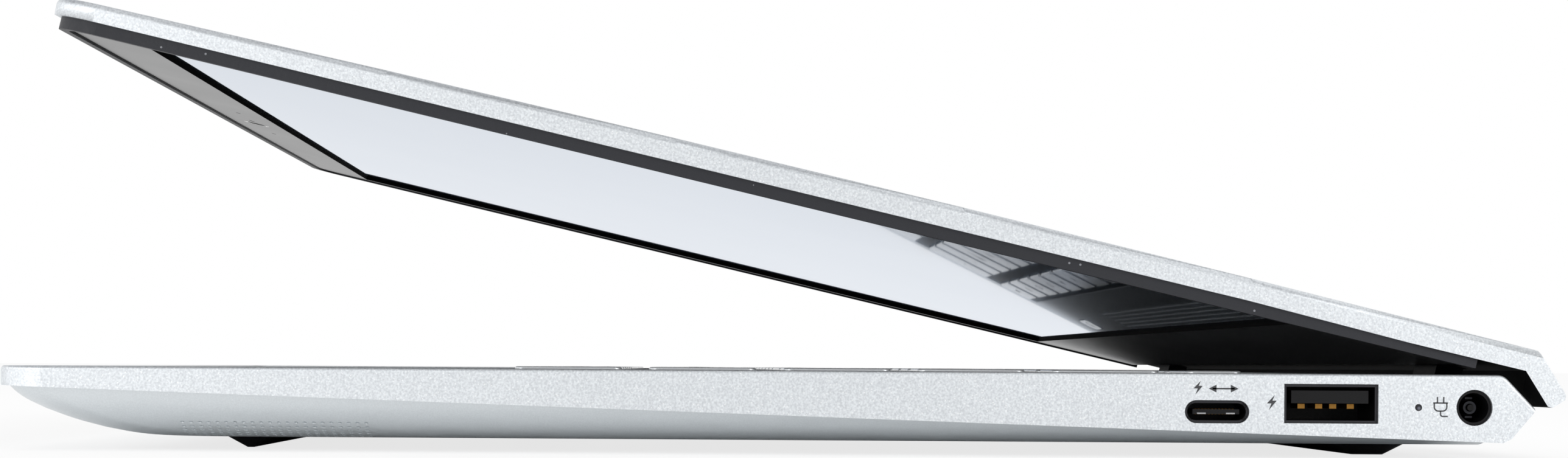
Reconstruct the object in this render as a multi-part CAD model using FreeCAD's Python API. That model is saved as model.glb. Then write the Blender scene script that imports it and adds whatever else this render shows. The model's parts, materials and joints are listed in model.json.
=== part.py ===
import FreeCAD, Part
import math
import os

V = FreeCAD.Vector

# A thin laptop computer with its lid a little open.
# Millimetres and degrees. While it is built, z = 0 is the top of the deck, y = 0 is the front lip,
# +X is the user's right and +Y points to the hinge. At the end all of it is moved onto the floor.

# Outside of the base
WIDTH = 305.4
BASE_THICKNESS = 10.2
FOOT_HEIGHT = 1.9
CORNER_RADIUS = 7.0
EDGE_ROUND = 0.5
LIP_RAKE = 0.4
PARTING_FRONT = 2.8
PARTING_REAR = 9.6

# Walls of the base
DECK_T = 1.3
WALL = 1.3
FRONT_WALL = 2.6
FLANGE_T = 1.0
FLANGE_WIDTH = 12.0
FLANGE_FRONT = 5.5
FLANGE_REAR = 1.6

# Lower cover, a hull with a constant cross-section
COVER_T = 1.0
COVER_INSET = 0.65
HULL_TOP = 2.6
HULL_SIDE = 14.0
HULL_FRONT = 18.0
HULL_SIDE_POWER = 2.0
HULL_FRONT_POWER = 1.35
HULL_STEPS = 7
HULL_CORNER_GROWTH = 0.7

# Hinge line and rear nose of the base
HINGE_Y = 212.1
HINGE_DROP = 4.7
OPEN_ANGLE = 13.2
NOSE_REACH = 5.8
NOSE_TOP = 1.36
NOSE_TIP = 0.4
NOSE_ROUND = 2.0
NOSE_HEEL = 2.5
NOSE_HEEL_DROP = 9.0
NOSE_LENGTH = 12.7
REAR_REACH = 2.5
REAR_WALL = 1.4
COVER_REAR = 1.3

# Hinges
HINGE_INSET = 40.7
KNUCKLE_LENGTH = 13.0
KNUCKLE_RADIUS = 3.0
KNUCKLE_GAP = 0.6
PIN_RADIUS = 1.5
PIN_OVERHANG = 0.6
RUNNING_FIT = 0.05
SEAT_FIT = 0.02
NOTCH_CLEARANCE = 1.3
NOTCH_FRONT = 4.5
BRACKET_T = 1.2
BRACKET_LENGTH = 20.0
HINGE_SCREW_RADIUS = 1.6
HINGE_SCREW_HEAD = 0.7
LID_ARM_FRONT = 2.4
LID_ARM_REAR = 1.6
LID_PLATE_T = 0.8
LID_PLATE_LIFT = 0.25
LID_PLATE_LENGTH = 19.0
LID_PLATE_WIDTH = 34.0

# Lid, its heights measured up from the closed deck
LID_GAP = 0.2
LID_SETBACK = 0.14
LID_LIP_RAKE = 0.5
GASKET_HEIGHT = 1.76
GASKET_WIDTH = 1.5
GASKET_INSET = 0.6
GASKET_REAR = 3.76
LID_EDGE_T = 2.5
LID_CROWN_T = 3.4
LID_REAR_T = 2.75
LID_ROUND = 0.9
LID_WALL = 1.9
LID_STEP_Y = 37.5
LID_STEP_END = 13.2
LID_STEP = 0.46
TAIL_CORNER = 4.19
TAIL_ANGLE = 45.0
TAIL_LENGTH = 7.9
TAIL_T = 3.05
TAIL_ROUND = 0.5
LINING_T = 1.4
LINING_FRONT = 4.8
LINING_MARGIN = 0.5

# Display
BEZEL_RECESS = 0.35
BEZEL_T = 0.6
BEZEL_GAP = 0.2
CHIN_STEP = 3.0
SIDE_BORDER = 5.5
TOP_BORDER = 14.4
CHIN = 29.26
GLASS_LAP = 1.0
GLASS_T = 0.5
PANEL_LAP = 1.5
PANEL_T = 1.5
POCKET_SPARE = 0.05
WEBCAM_SETBACK = 8.6
WEBCAM_LENGTH = 60.0
WEBCAM_DEPTH = 7.0
WEBCAM_T = 1.5
WEBCAM_LENS_RADIUS = 1.6
LENS_RECESS = 0.15
LENS_FIT = 0.1
ANTENNA_INSET = 72.7
ANTENNA_LENGTH = 40.0
ANTENNA_T = 0.6

# Keyboard
KEYBOARD_MARGIN = 7.775
KEY_UNITS = 15.5
ROW_PITCH = 19.4
KEYBOARD_AHEAD = 140.7
KEY_GAP_X = 3.3
KEY_GAP_Y = 3.9
FUNCTION_DEPTH = 8.0
FUNCTION_KEYS = 15
KEY_PROUD = 0.35
KEY_SKIRT = 1.5
KEY_ROUND = 1.2
KEY_EDGE = 0.3
KEY_TRAVEL = 1.2
KEY_CLEARANCE = 0.35
ARROW_SPLIT = 0.6
FRAME_RECESS = 0.15
FRAME_FIT = 0.05
PLATE_GAP = 0.3
PLATE_T = 0.7
PLATE_LAP = 2.0

# Touchpad
PAD_WIDTH = 110.0
PAD_REAR_GAP = 5.2
PAD_FRONT = 7.5
PAD_T = 1.0
PAD_RECESS = 0.1
PAD_CLEARANCE = 0.3
PAD_ROUND = 2.0
PAD_BOARD_T = 0.7
PAD_BOARD_INSET = 3.0
PAD_CLICK_GAP = 0.8
BRACKET_PLATE_T = 0.6
BRACKET_RAIL = 2.3
BRACKET_RAIL_GAP = 0.9
PIVOT_RADIUS = 0.5
PIVOT_GAP = 0.03
SWITCH_SIZE = 6.0
SWITCH_HEIGHT = 0.3
SWITCH_SETBACK = 9.5

# Power button and speaker grille in the deck
BUTTON_INSET = 22.7
BUTTON_AHEAD = 19.4
BUTTON_WIDTH = 12.0
BUTTON_DEPTH = 4.6
BUTTON_PROUD = 0.15
BUTTON_HEIGHT = 1.3
BUTTON_CLEARANCE = 0.25
GRILLE_INSET = 62.7
GRILLE_DEPTH = 12.0
GRILLE_AHEAD = 19.4
GRILLE_T = 0.9
GRILLE_RECESS = 0.05

# Sockets in the side walls: distance of the middle ahead of the hinge line, and its depth below the deck
PORT_SETBACK = 0.5
PORT_FIT = 0.1
PORT_SHELL = 0.3
USB_A_AHEAD = 23
USB_A_DROP = 4.2
USB_A_WIDTH = 13.1
USB_A_HEIGHT = 5.36
USB_A_LENGTH = 12.6
USB_A_TONGUE = 1.8
USB_A_TONGUE_WIDTH = 10.9
USB_A_TONGUE_DROP = 0.95
USB_A_BACK = 2.0
USB_C_AHEAD = 39.1
USB_C_DROP = 5.43
USB_C_WIDTH = 8.9
USB_C_HEIGHT = 3.05
USB_C_LENGTH = 9.6
USB_C_TONGUE = 0.7
USB_C_TONGUE_WIDTH = 6.6
USB_C_BACK = 2.4
DC_AHEAD = 2.8
DC_DROP = 4.64
DC_RADIUS = 2.45
DC_BODY = 6.2
DC_LENGTH = 12.4
DC_BORE = 2.1
DC_BORE_DEPTH = 9.5
DC_PIN_RADIUS = 0.45
DC_PIN_SETBACK = 1.6
AUDIO_AHEAD = 6.9
AUDIO_DROP = 4.64
AUDIO_RADIUS = 2.45
AUDIO_BODY = 6.2
AUDIO_LENGTH = 13.0
AUDIO_BORE = 1.8
AUDIO_DEPTH = 12.0
CARD_AHEAD = 62.4
CARD_DROP = 5.0
CARD_WIDTH = 12.6
CARD_HEIGHT = 2.1
CARD_LENGTH = 12.5
CARD_SLOT_WIDTH = 11.6
CARD_SLOT_HEIGHT = 1.1
CARD_SLOT_DEPTH = 10.5
LED_AHEAD = 10.7
LED_DROP = 4.65
LED_RADIUS = 0.45
LED_LENGTH = 2.2
LED_FIT = 0.05

# Parts inside the base
BOARD_DROP = 5.0
BOARD_T = 1.0
BOARD_INSET = 122.7
BOARD_EDGE = 13.7
BOARD_AHEAD = 98.4
BOARD_REAR = 8.4
POST_RADIUS = 1.8
POST_INSET = 6.0
IO_WIDTH = 42.0
IO_AHEAD = 76.4
PROCESSOR_OFFSET = 52.0
PROCESSOR_AHEAD = 47.4
PROCESSOR_WIDTH = 26.0
PROCESSOR_DEPTH = 24.0
PROCESSOR_T = 1.3
PIPE_WIDTH = 7.0
PIPE_T = 1.5
FAN_OFFSET = 35.0
FAN_AHEAD = 36.9
FAN_SIZE = 56.0
FAN_TOP = 4.1
FAN_HEIGHT = 4.9
FAN_WALL = 0.8
FAN_INTAKE = 18.0
FAN_POST = 1.5
FAN_POST_GAP = 0.3
ROTOR_RADIUS = 22.5
ROTOR_HUB = 8.0
ROTOR_GAP = 0.6
ROTOR_CAP = 0.8
BLADE_COUNT = 17
BLADE_T = 0.9
BLADE_RAKE = 25.0
FIN_PITCH = 2.4
FIN_T = 0.4
FIN_BASE = 0.6
FIN_TOP = 2.4
FIN_DEPTH = 6.0
FIN_GAP = 0.5
FIN_COUNT = 21
BATTERY_INSET = 37.7
BATTERY_FRONT = 26.0
BATTERY_REAR_GAP = 8.0
BATTERY_T = 4.6
BATTERY_CELLS = 4
BATTERY_GROOVE = 0.8
INNER_GAP = 0.1
SSD_OFFSET = 49.0
SSD_AHEAD = 83.4
SSD_LENGTH = 80.0
SSD_WIDTH = 22.0
SSD_T = 2.2
WIRELESS_OFFSET = 15.0
WIRELESS_AHEAD = 79.4
WIRELESS_WIDTH = 22.0
WIRELESS_LENGTH = 30.0
WIRELESS_T = 1.7
SPEAKER_INSET = 22.2
SPEAKER_Y = 41.7
SPEAKER_WIDTH = 18.0
SPEAKER_LENGTH = 32.0
SPEAKER_DROP = 4.6
SPEAKER_T = 3.9
SPEAKER_ROUND = 2.0

# Vents
EXHAUST_COUNT = 13
EXHAUST_PITCH = 3.6
EXHAUST_WIDTH = 2.2
EXHAUST_TOP = 3.0
EXHAUST_HEIGHT = 4.4
INTAKE_COUNT = 11
INTAKE_PITCH = 4.0
INTAKE_WIDTH = 1.6
INTAKE_LENGTH = 28.0

# Feet and screws of the lower cover
FOOT_INSET = 24.7
FOOT_BEVEL = 3.2
FRONT_FOOT_Y = 32.7
FRONT_FOOT_WIDTH = 7.4
REAR_FOOT_AHEAD = 11.3
REAR_FOOT_WIDTH = 11.1
FOOT_ROUND = 2.0
FOOT_FLOOR_ROUND = 0.4
BOSS_RADIUS = 2.4
BOSS_BORE = 1.0
SCREW_HEAD_RADIUS = 1.9
SCREW_HEAD = 0.55
SCREW_RADIUS = 0.95
SCREW_LENGTH = 4.0
SCREW_SEAT = 0.05
SIDE_BOSS_INSET = 18.7
SIDE_BOSS_GAP = 8.2
REAR_BOSS_OFFSET = 3.5
REAR_BOSS_AHEAD = 18.4
CORNER_BOSS_INSET = 13.0
CORNER_BOSS_Y = 6.6
CORNER_BOSS_END = 5.4

# Values that follow from those above
HALF = WIDTH / 2
USB_A_Y = HINGE_Y - USB_A_AHEAD
USB_C_Y = HINGE_Y - USB_C_AHEAD
DC_Y = HINGE_Y - DC_AHEAD
AUDIO_Y = HINGE_Y - AUDIO_AHEAD
CARD_Y = HINGE_Y - CARD_AHEAD
LED_Y = HINGE_Y - LED_AHEAD
BUTTON_Y = HINGE_Y - BUTTON_AHEAD
GRILLE_Y = HINGE_Y - GRILLE_AHEAD
ROW_START = HINGE_Y - KEYBOARD_AHEAD
IO_FRONT = HINGE_Y - IO_AHEAD
PROCESSOR_Y = HINGE_Y - PROCESSOR_AHEAD
FAN_Y = HINGE_Y - FAN_AHEAD
SSD_Y = HINGE_Y - SSD_AHEAD
WIRELESS_Y = HINGE_Y - WIRELESS_AHEAD
REAR_FOOT_Y = HINGE_Y - REAR_FOOT_AHEAD
REAR_BOSS_Y = HINGE_Y - REAR_BOSS_AHEAD
BOARD_FRONT = HINGE_Y - BOARD_AHEAD
LID_REACH = HINGE_Y - LID_SETBACK
BATTERY_DEPTH = BOARD_FRONT - BATTERY_REAR_GAP - BATTERY_FRONT
PAD_DEPTH = ROW_START - PAD_REAR_GAP - PAD_FRONT
SIDE_BOSS_Y = ROW_START - SIDE_BOSS_GAP
HINGE_X = HALF - HINGE_INSET
ANTENNA_X = HALF - ANTENNA_INSET
BUTTON_X = HALF - BUTTON_INSET
GRILLE_WIDTH = WIDTH - 2 * GRILLE_INSET
BATTERY_WIDTH = WIDTH - 2 * BATTERY_INSET
SPEAKER_X = HALF - SPEAKER_INSET
FOOT_HALF = HALF - FOOT_INSET
SIDE_BOSS_X = HALF - SIDE_BOSS_INSET
CORNER_BOSS_X = HALF - CORNER_BOSS_INSET
BOARD_LEFT = BOARD_INSET - HALF
PROCESSOR_X = BOARD_LEFT + PROCESSOR_OFFSET
WIRELESS_X = BOARD_LEFT + WIRELESS_OFFSET
REAR_BOSS_X = BOARD_LEFT - REAR_BOSS_OFFSET
FAN_X = BOARD_LEFT - FAN_OFFSET
VIEW_WIDTH = WIDTH - 2 * SIDE_BORDER
HINGE_Z = -HINGE_DROP
DECK_UNDER = -DECK_T
PARTING_END = HINGE_Y + COVER_REAR
BOTTOM_Z = -BASE_THICKNESS
NOSE_X = HALF - NOSE_LENGTH
REAR_Y = HINGE_Y + REAR_REACH
POCKET_REAR = REAR_Y - REAR_WALL
BOARD_TOP = -BOARD_DROP
BOARD_UNDER = BOARD_TOP - BOARD_T
BOARD_X = HALF - BOARD_EDGE
SSD_X = BOARD_X - SSD_OFFSET
BOARD_REAR_Y = HINGE_Y - BOARD_REAR
INNER_FLOOR = BOTTOM_Z + COVER_T
KEYBOARD_WIDTH = WIDTH - 2 * KEYBOARD_MARGIN
KEY_PITCH = KEYBOARD_WIDTH / KEY_UNITS
KEYBOARD_REAR = ROW_START + 5 * ROW_PITCH + FUNCTION_DEPTH + KEY_GAP_Y
PLATE_TOP = -(KEY_SKIRT + KEY_TRAVEL + PLATE_GAP)
PLATE_UNDER = PLATE_TOP - PLATE_T
GASKET_V = HINGE_DROP + LID_GAP
LID_V = GASKET_V + GASKET_HEIGHT
BEZEL_V = GASKET_V + BEZEL_RECESS
GLASS_V = BEZEL_V + BEZEL_T
PANEL_V = GLASS_V + GLASS_T
POCKET_V = PANEL_V + PANEL_T + POCKET_SPARE
LINING_V = LID_V - LID_STEP
LID_PLATE_V = LINING_V + LID_PLATE_LIFT
VIEW_FRONT = -LID_REACH + TOP_BORDER
VIEW_REAR = -CHIN
KNUCKLE_INNER = HINGE_X - KNUCKLE_GAP / 2
KNUCKLE_OUTER = HINGE_X + KNUCKLE_GAP / 2
FAR = 500.0


def box(x0, x1, y0, y1, z0, z1):
    return Part.makeBox(x1 - x0, y1 - y0, z1 - z0, V(x0, y0, z0))


def rod(radius, start, along, length):
    return Part.makeCylinder(radius, length, start, along)


def upright(radius, x, y, z0, z1):
    return rod(radius, V(x, y, z0), V(0, 0, 1), z1 - z0)


def crossways(radius, x0, x1, y, z):
    return rod(radius, V(x0, y, z), V(1, 0, 0), x1 - x0)


def prism_x(points, x0, x1):
    corners = [V(x0, y, z) for y, z in points]
    outline = Part.makePolygon(corners + corners[:1])
    return Part.Face(outline).extrude(V(x1 - x0, 0, 0))


def quarter(x, y, z, radius, start):
    ends = []
    for turn in (0.0, 45.0, 90.0):
        angle = math.radians(start + turn)
        ends.append(V(x + radius * math.cos(angle), y + radius * math.sin(angle), z))
    return Part.Arc(*ends).toShape()


def outline(x0, x1, y0, y1, z, front, rear):
    """A closed outline in the plane z, with rounded front corners and, if rear is above zero, rear ones."""
    edges = [Part.makeLine(V(x0 + front, y0, z), V(x1 - front, y0, z))]
    edges.append(quarter(x1 - front, y0 + front, z, front, 270.0))
    edges.append(Part.makeLine(V(x1, y0 + front, z), V(x1, y1 - rear, z)))
    if rear > 0:
        edges.append(quarter(x1 - rear, y1 - rear, z, rear, 0.0))
    edges.append(Part.makeLine(V(x1 - rear, y1, z), V(x0 + rear, y1, z)))
    if rear > 0:
        edges.append(quarter(x0 + rear, y1 - rear, z, rear, 90.0))
    edges.append(Part.makeLine(V(x0, y1 - rear, z), V(x0, y0 + front, z)))
    edges.append(quarter(x0 + front, y0 + front, z, front, 180.0))
    return Part.Wire(edges)


def slab(x0, x1, y0, y1, z0, z1, front, rear=None):
    """A flat block with rounded upright corners."""
    back = front if rear is None else rear
    return Part.Face(outline(x0, x1, y0, y1, z0, front, back)).extrude(V(0, 0, z1 - z0))


def join(shapes):
    first = shapes[0]
    return first.fuse(shapes[1:]).removeSplitter() if len(shapes) > 1 else first


def both(shape):
    return [shape, shape.mirror(V(0, 0, 0), V(1, 0, 0))]


def mirrored(shape):
    return shape.mirror(V(0, 0, 0), V(1, 0, 0))


def parting(y):
    """Height of the slanted plane between the upper case and the lower cover."""
    slope = (PARTING_REAR - PARTING_FRONT) / (PARTING_END - LIP_RAKE)
    return -PARTING_FRONT - (y - LIP_RAKE) * slope


def above_parting(lift):
    low, high = -FAR, FAR
    points = [(low, parting(low) + lift), (high, parting(high) + lift), (high, FAR), (low, FAR)]
    return prism_x(points, -FAR, FAR)


# Base shells
def boss_list():
    """Screw posts of the upper case: x, y and height of the lower end."""
    posts = []
    for side in (1, -1):
        posts.append((side * SIDE_BOSS_X, SIDE_BOSS_Y, INNER_FLOOR))
        posts.append((side * CORNER_BOSS_X, CORNER_BOSS_Y, -CORNER_BOSS_END))
    posts.append((REAR_BOSS_X, REAR_BOSS_Y, INNER_FLOOR))
    return posts


def case_outside():
    profile = [(0.0, 0.0), (HINGE_Y + NOSE_TOP, 0.0), (HINGE_Y + NOSE_REACH, HINGE_Z)]
    profile += [(HINGE_Y + NOSE_REACH, HINGE_Z - NOSE_TIP), (HINGE_Y + NOSE_HEEL, -NOSE_HEEL_DROP)]
    profile += [(PARTING_END, -PARTING_REAR), (0.0, parting(0.0))]
    plan = slab(-HALF, HALF, 0.0, HINGE_Y + NOSE_REACH + 1, BOTTOM_Z, 1.0, CORNER_RADIUS, 0.0)
    shape = prism_x(profile, -HALF, HALF).common(plan)
    shoulder = [e for e in shape.Edges if e.BoundBox.ZMin > -0.01 and e.BoundBox.YMin > HINGE_Y]
    shape = shape.makeFillet(NOSE_ROUND, shoulder)
    rim = [e for e in shape.Edges if e.BoundBox.ZMin > -0.01 and e.BoundBox.YMin < HINGE_Y]
    low = -PARTING_FRONT
    rake = [(-1.0, -EDGE_ROUND), (0.0, -EDGE_ROUND), (LIP_RAKE, low), (LIP_RAKE, low - 1), (-1.0, low - 1)]
    return shape.makeFillet(EDGE_ROUND, rim).cut(prism_x(rake, -FAR, FAR))


def case_cuts():
    inner = HALF - WALL
    corner = CORNER_RADIUS - WALL
    pocket = slab(-inner, inner, FRONT_WALL, POCKET_REAR, BOTTOM_Z, DECK_UNDER, corner, 0.0)
    cuts = [pocket.common(above_parting(FLANGE_T))]
    mouth = HALF - FLANGE_WIDTH
    cuts.append(box(-mouth, mouth, FLANGE_FRONT, POCKET_REAR - FLANGE_REAR, BOTTOM_Z, DECK_UNDER))
    cuts.append(box(-NOSE_X, NOSE_X, REAR_Y, REAR_Y + FAR, -FAR, FAR))
    for cut in both(hinge_notch()):
        cuts.append(cut)
    cuts.append(keyboard_field(FRAME_FIT, -2 * DECK_T, 1.0))
    cuts.append(pad_field(PAD_CLEARANCE, -2 * DECK_T, 1.0))
    cuts.append(grille_field(FRAME_FIT, -2 * DECK_T, 1.0))
    cuts.append(button_field(BUTTON_CLEARANCE, -2 * DECK_T, 1.0))
    return cuts + socket_cuts() + exhaust_cuts()


def top_case():
    shell = case_outside().cut(case_cuts())
    posts = [upright(BOSS_RADIUS, x, y, z, DECK_UNDER) for x, y, z in boss_list()]
    bores = [upright(BOSS_BORE, x, y, z, DECK_UNDER - 0.5) for x, y, z in boss_list()]
    return join([shell] + posts).cut(bores)


def hinge_notch():
    x0 = HINGE_X - KNUCKLE_LENGTH - NOTCH_CLEARANCE
    x1 = HINGE_X + KNUCKLE_LENGTH + NOTCH_CLEARANCE + 1.0
    return box(x0, x1, HINGE_Y - NOTCH_FRONT, HINGE_Y + FAR, -FAR, FAR)


def exhaust_cuts():
    cuts = []
    for index in range(EXHAUST_COUNT):
        x = FAN_X + (index - (EXHAUST_COUNT - 1) / 2) * EXHAUST_PITCH
        half = EXHAUST_WIDTH / 2
        low = -EXHAUST_TOP - EXHAUST_HEIGHT
        cuts.append(box(x - half, x + half, POCKET_REAR - 0.5, REAR_Y + 1, low, -EXHAUST_TOP))
    return cuts


def hull(offset):
    """The curved outside of the lower cover, or its inside when offset is the wall."""
    depth = BASE_THICKNESS - HULL_TOP - offset
    wires = []
    for step in range(HULL_STEPS):
        t = math.sin(math.radians(90.0 * step / (HULL_STEPS - 1)))
        side = HULL_SIDE * (1 - (1 - t ** HULL_SIDE_POWER) ** (1 / HULL_SIDE_POWER))
        front = HULL_FRONT * (1 - (1 - t ** HULL_FRONT_POWER) ** (1 / HULL_FRONT_POWER))
        x = HALF - COVER_INSET - offset - side
        y = LIP_RAKE + COVER_INSET + offset + front
        radius = CORNER_RADIUS - COVER_INSET - offset + HULL_CORNER_GROWTH * side
        wires.append(outline(-x, x, y, PARTING_END - offset, -HULL_TOP - depth * t, radius, 0.0))
    return Part.makeLoft(wires, True, False)


def bottom_cover():
    shell = hull(0.0).cut(hull(COVER_T)).cut(above_parting(0.0))
    cuts = []
    for x, y, z in boss_list():
        if z > INNER_FLOOR + 0.1:
            cuts.append(upright(BOSS_RADIUS, x, y, BOTTOM_Z - 1, DECK_UNDER))
            continue
        cuts.append(upright(BOSS_BORE, x, y, BOTTOM_Z - 1, z + 1))
        seat = BOTTOM_Z + SCREW_HEAD + 2 * SCREW_SEAT
        cuts.append(upright(SCREW_HEAD_RADIUS + 0.1, x, y, BOTTOM_Z - 1, seat))
    for index in range(INTAKE_COUNT):
        x = FAN_X + (index - (INTAKE_COUNT - 1) / 2) * INTAKE_PITCH
        half = INTAKE_WIDTH / 2
        y0 = FAN_Y - INTAKE_LENGTH / 2
        cuts.append(slab(x - half, x + half, y0, y0 + INTAKE_LENGTH, BOTTOM_Z - 1, INNER_FLOOR + 1, half * 0.9))
    return shell.cut(cuts)


def cover_screws():
    screws = []
    for x, y, z in boss_list():
        corner = z > INNER_FLOOR + 0.1
        seat = z if corner else BOTTOM_Z + SCREW_HEAD + SCREW_SEAT
        head = upright(SCREW_HEAD_RADIUS, x, y, seat - SCREW_HEAD, seat)
        length = SCREW_LENGTH - 1.2 if corner else SCREW_LENGTH
        screws.append(join([head, upright(SCREW_RADIUS, x, y, seat, seat + length)]))
    return Part.makeCompound(screws)


def foot(y, width):
    half = width / 2
    low = half - FOOT_BEVEL
    end = FOOT_HALF - FOOT_BEVEL
    top = outline(-FOOT_HALF, FOOT_HALF, y - half, y + half, BOTTOM_Z, FOOT_ROUND, FOOT_ROUND)
    floor = outline(-end, end, y - low, y + low, BOTTOM_Z - FOOT_HEIGHT, FOOT_FLOOR_ROUND, FOOT_FLOOR_ROUND)
    return Part.makeLoft([top, floor], True, True)


# Keyboard, touchpad and button
def keyboard_field(spare, z0, z1):
    half = KEYBOARD_WIDTH / 2 + spare
    return slab(-half, half, ROW_START - spare, KEYBOARD_REAR + spare, z0, z1, KEY_ROUND)


def pad_field(spare, z0, z1):
    half = PAD_WIDTH / 2 + spare
    y0 = PAD_FRONT - spare
    return slab(-half, half, y0, PAD_FRONT + PAD_DEPTH + spare, z0, z1, PAD_ROUND)


def grille_field(spare, z0, z1):
    x = GRILLE_WIDTH / 2 + spare
    y = GRILLE_DEPTH / 2 + spare
    return slab(-x, x, GRILLE_Y - y, GRILLE_Y + y, z0, z1, KEY_ROUND)


def button_field(spare, z0, z1):
    x = BUTTON_WIDTH / 2 + spare
    y = BUTTON_DEPTH / 2 + spare
    radius = BUTTON_DEPTH * 0.45
    return slab(-BUTTON_X - x, -BUTTON_X + x, BUTTON_Y - y, BUTTON_Y + y, z0, z1, radius)


def key_rows():
    """Rows from front to rear; each key is its group and its width in units, from left to right."""
    arrows = [("arrow_keys", 1.0), ("arrow_keys", -1.0), ("arrow_keys", 1.0)]
    first = [("bottom_row_keys", width) for width in (1.25, 1.0, 1.25, 1.25)]
    first += [("space_bar", 5.75), ("bottom_row_keys", 1.0), ("bottom_row_keys", 1.0)] + arrows
    second = [("left_shift_key", 2.25)] + [("lower_row_keys", 1.0)] * 10
    second += [("right_shift_key", 2.25), ("lower_row_keys", 1.0)]
    third = [("home_row_keys", 1.75)] + [("home_row_keys", 1.0)] * 11
    third += [("enter_key", 1.75), ("home_row_keys", 1.0)]
    fourth = [("upper_row_keys", 1.5)] + [("upper_row_keys", 1.0)] * 14
    fifth = [("number_row_keys", 1.0)] * 13 + [("backspace_key", 1.5), ("number_row_keys", 1.0)]
    sixth = [("function_row_keys", KEY_UNITS / FUNCTION_KEYS)] * FUNCTION_KEYS
    return [first, second, third, fourth, fifth, sixth]


def key_places():
    """Group, x range and y range of each key cap."""
    places = []
    for row, keys in enumerate(key_rows()):
        y0 = ROW_START + row * ROW_PITCH + KEY_GAP_Y / 2
        deep = FUNCTION_DEPTH if row == 5 else ROW_PITCH - KEY_GAP_Y
        x = -KEYBOARD_WIDTH / 2
        for group, units in keys:
            wide = abs(units) * KEY_PITCH
            x0, x1 = x + KEY_GAP_X / 2, x + wide - KEY_GAP_X / 2
            if units > 0:
                places.append((group, x0, x1, y0, y0 + deep))
            else:
                part = (deep - ARROW_SPLIT) / 2
                places.append((group, x0, x1, y0, y0 + part))
                places.append((group, x0, x1, y0 + part + ARROW_SPLIT, y0 + deep))
            x += wide
    return places


def key_cap(x0, x1, y0, y1):
    cap = slab(x0, x1, y0, y1, -KEY_SKIRT, KEY_PROUD, KEY_ROUND)
    rim = [e for e in cap.Edges if e.BoundBox.ZMin > KEY_PROUD - 0.01]
    return cap.makeFillet(KEY_EDGE, rim)


def key_groups():
    groups = {}
    for group, x0, x1, y0, y1 in key_places():
        groups.setdefault(group, []).append(key_cap(x0, x1, y0, y1))
    return {group: Part.makeCompound(caps) for group, caps in groups.items()}


def keyboard_frame():
    web = keyboard_field(0.0, DECK_UNDER, -FRAME_RECESS)
    holes = []
    spare = KEY_CLEARANCE
    pair = []
    for group, x0, x1, y0, y1 in key_places():
        if y1 - y0 < FUNCTION_DEPTH - 0.1:
            pair.append((x0, x1, y0, y1))
            continue
        holes.append(slab(x0 - spare, x1 + spare, y0 - spare, y1 + spare, -FAR / 5, 1.0, KEY_ROUND))
    x0, x1, y0, y1 = pair[0][0], pair[0][1], pair[0][2], pair[1][3]
    holes.append(slab(x0 - spare, x1 + spare, y0 - spare, y1 + spare, -FAR / 5, 1.0, KEY_ROUND))
    return web.cut(holes)


def post_places():
    """Posts under the keyboard plate that carry the two circuit boards."""
    rear = KEYBOARD_REAR - POST_INSET
    front = BOARD_FRONT + POST_INSET
    places = [(BOARD_LEFT + POST_INSET, front), (BOARD_X - POST_INSET, front)]
    places += [(BOARD_LEFT + POST_INSET, rear), (BOARD_X - POST_INSET, rear)]
    io_right = -BOARD_X + IO_WIDTH
    return places + [(-BOARD_X + POST_INSET, rear), (io_right - POST_INSET, rear)]


def keyboard_plate():
    half = KEYBOARD_WIDTH / 2 + PLATE_LAP
    y0, y1 = ROW_START - PLATE_LAP, KEYBOARD_REAR + PLATE_LAP
    tray = box(-half, half, y0, y1, PLATE_UNDER, DECK_UNDER)
    room = box(-half + PLATE_LAP, half - PLATE_LAP, y0 + PLATE_LAP, y1 - PLATE_LAP, PLATE_TOP, 1.0)
    posts = [upright(POST_RADIUS, x, y, BOARD_TOP, PLATE_UNDER) for x, y in post_places()]
    return join([tray.cut(room)] + posts)


def touchpad():
    plate = pad_field(0.0, -PAD_RECESS - PAD_T, -PAD_RECESS)
    under = pad_field(-PAD_BOARD_INSET, -PAD_RECESS - PAD_T - PAD_BOARD_T, -PAD_RECESS - PAD_T)
    return join([plate, under])


def pad_bracket_top():
    return -PAD_RECESS - PAD_T - PAD_BOARD_T - PAD_CLICK_GAP


def touchpad_bracket():
    top = pad_bracket_top()
    inner = PAD_WIDTH / 2 + BRACKET_RAIL_GAP
    half = inner + BRACKET_RAIL
    y0 = PAD_FRONT + PAD_BOARD_INSET
    y1 = PAD_FRONT + PAD_DEPTH + PAD_CLEARANCE + 1.0
    plate = box(-half, half, y0, y1, top - BRACKET_PLATE_T, top)
    rails = both(box(inner, half, y0, y1, top, DECK_UNDER))
    pivot = PAD_FRONT + PAD_DEPTH - PAD_BOARD_INSET
    middle = -PAD_RECESS - PAD_T - PAD_BOARD_T - PIVOT_GAP - PIVOT_RADIUS
    bar = crossways(PIVOT_RADIUS, -inner, inner, pivot, middle)
    return join([plate, bar] + rails)


def touchpad_switch():
    half = SWITCH_SIZE / 2
    y = PAD_FRONT + SWITCH_SETBACK
    top = pad_bracket_top()
    return box(-half, half, y - half, y + half, top, top + SWITCH_HEIGHT)


# Sockets
def stadium(width, height, y, z, x0, x1):
    """A flat oval bar along X."""
    radius = height / 2
    run = width / 2 - radius
    middle = box(x0, x1, y - run, y + run, z - radius, z + radius)
    ends = [crossways(radius, x0, x1, y - run, z), crossways(radius, x0, x1, y + run, z)]
    return join([middle] + ends)


def block(width, height, y, z, x0, x1):
    return box(x0, x1, y - width / 2, y + width / 2, z - height / 2, z + height / 2)


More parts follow.
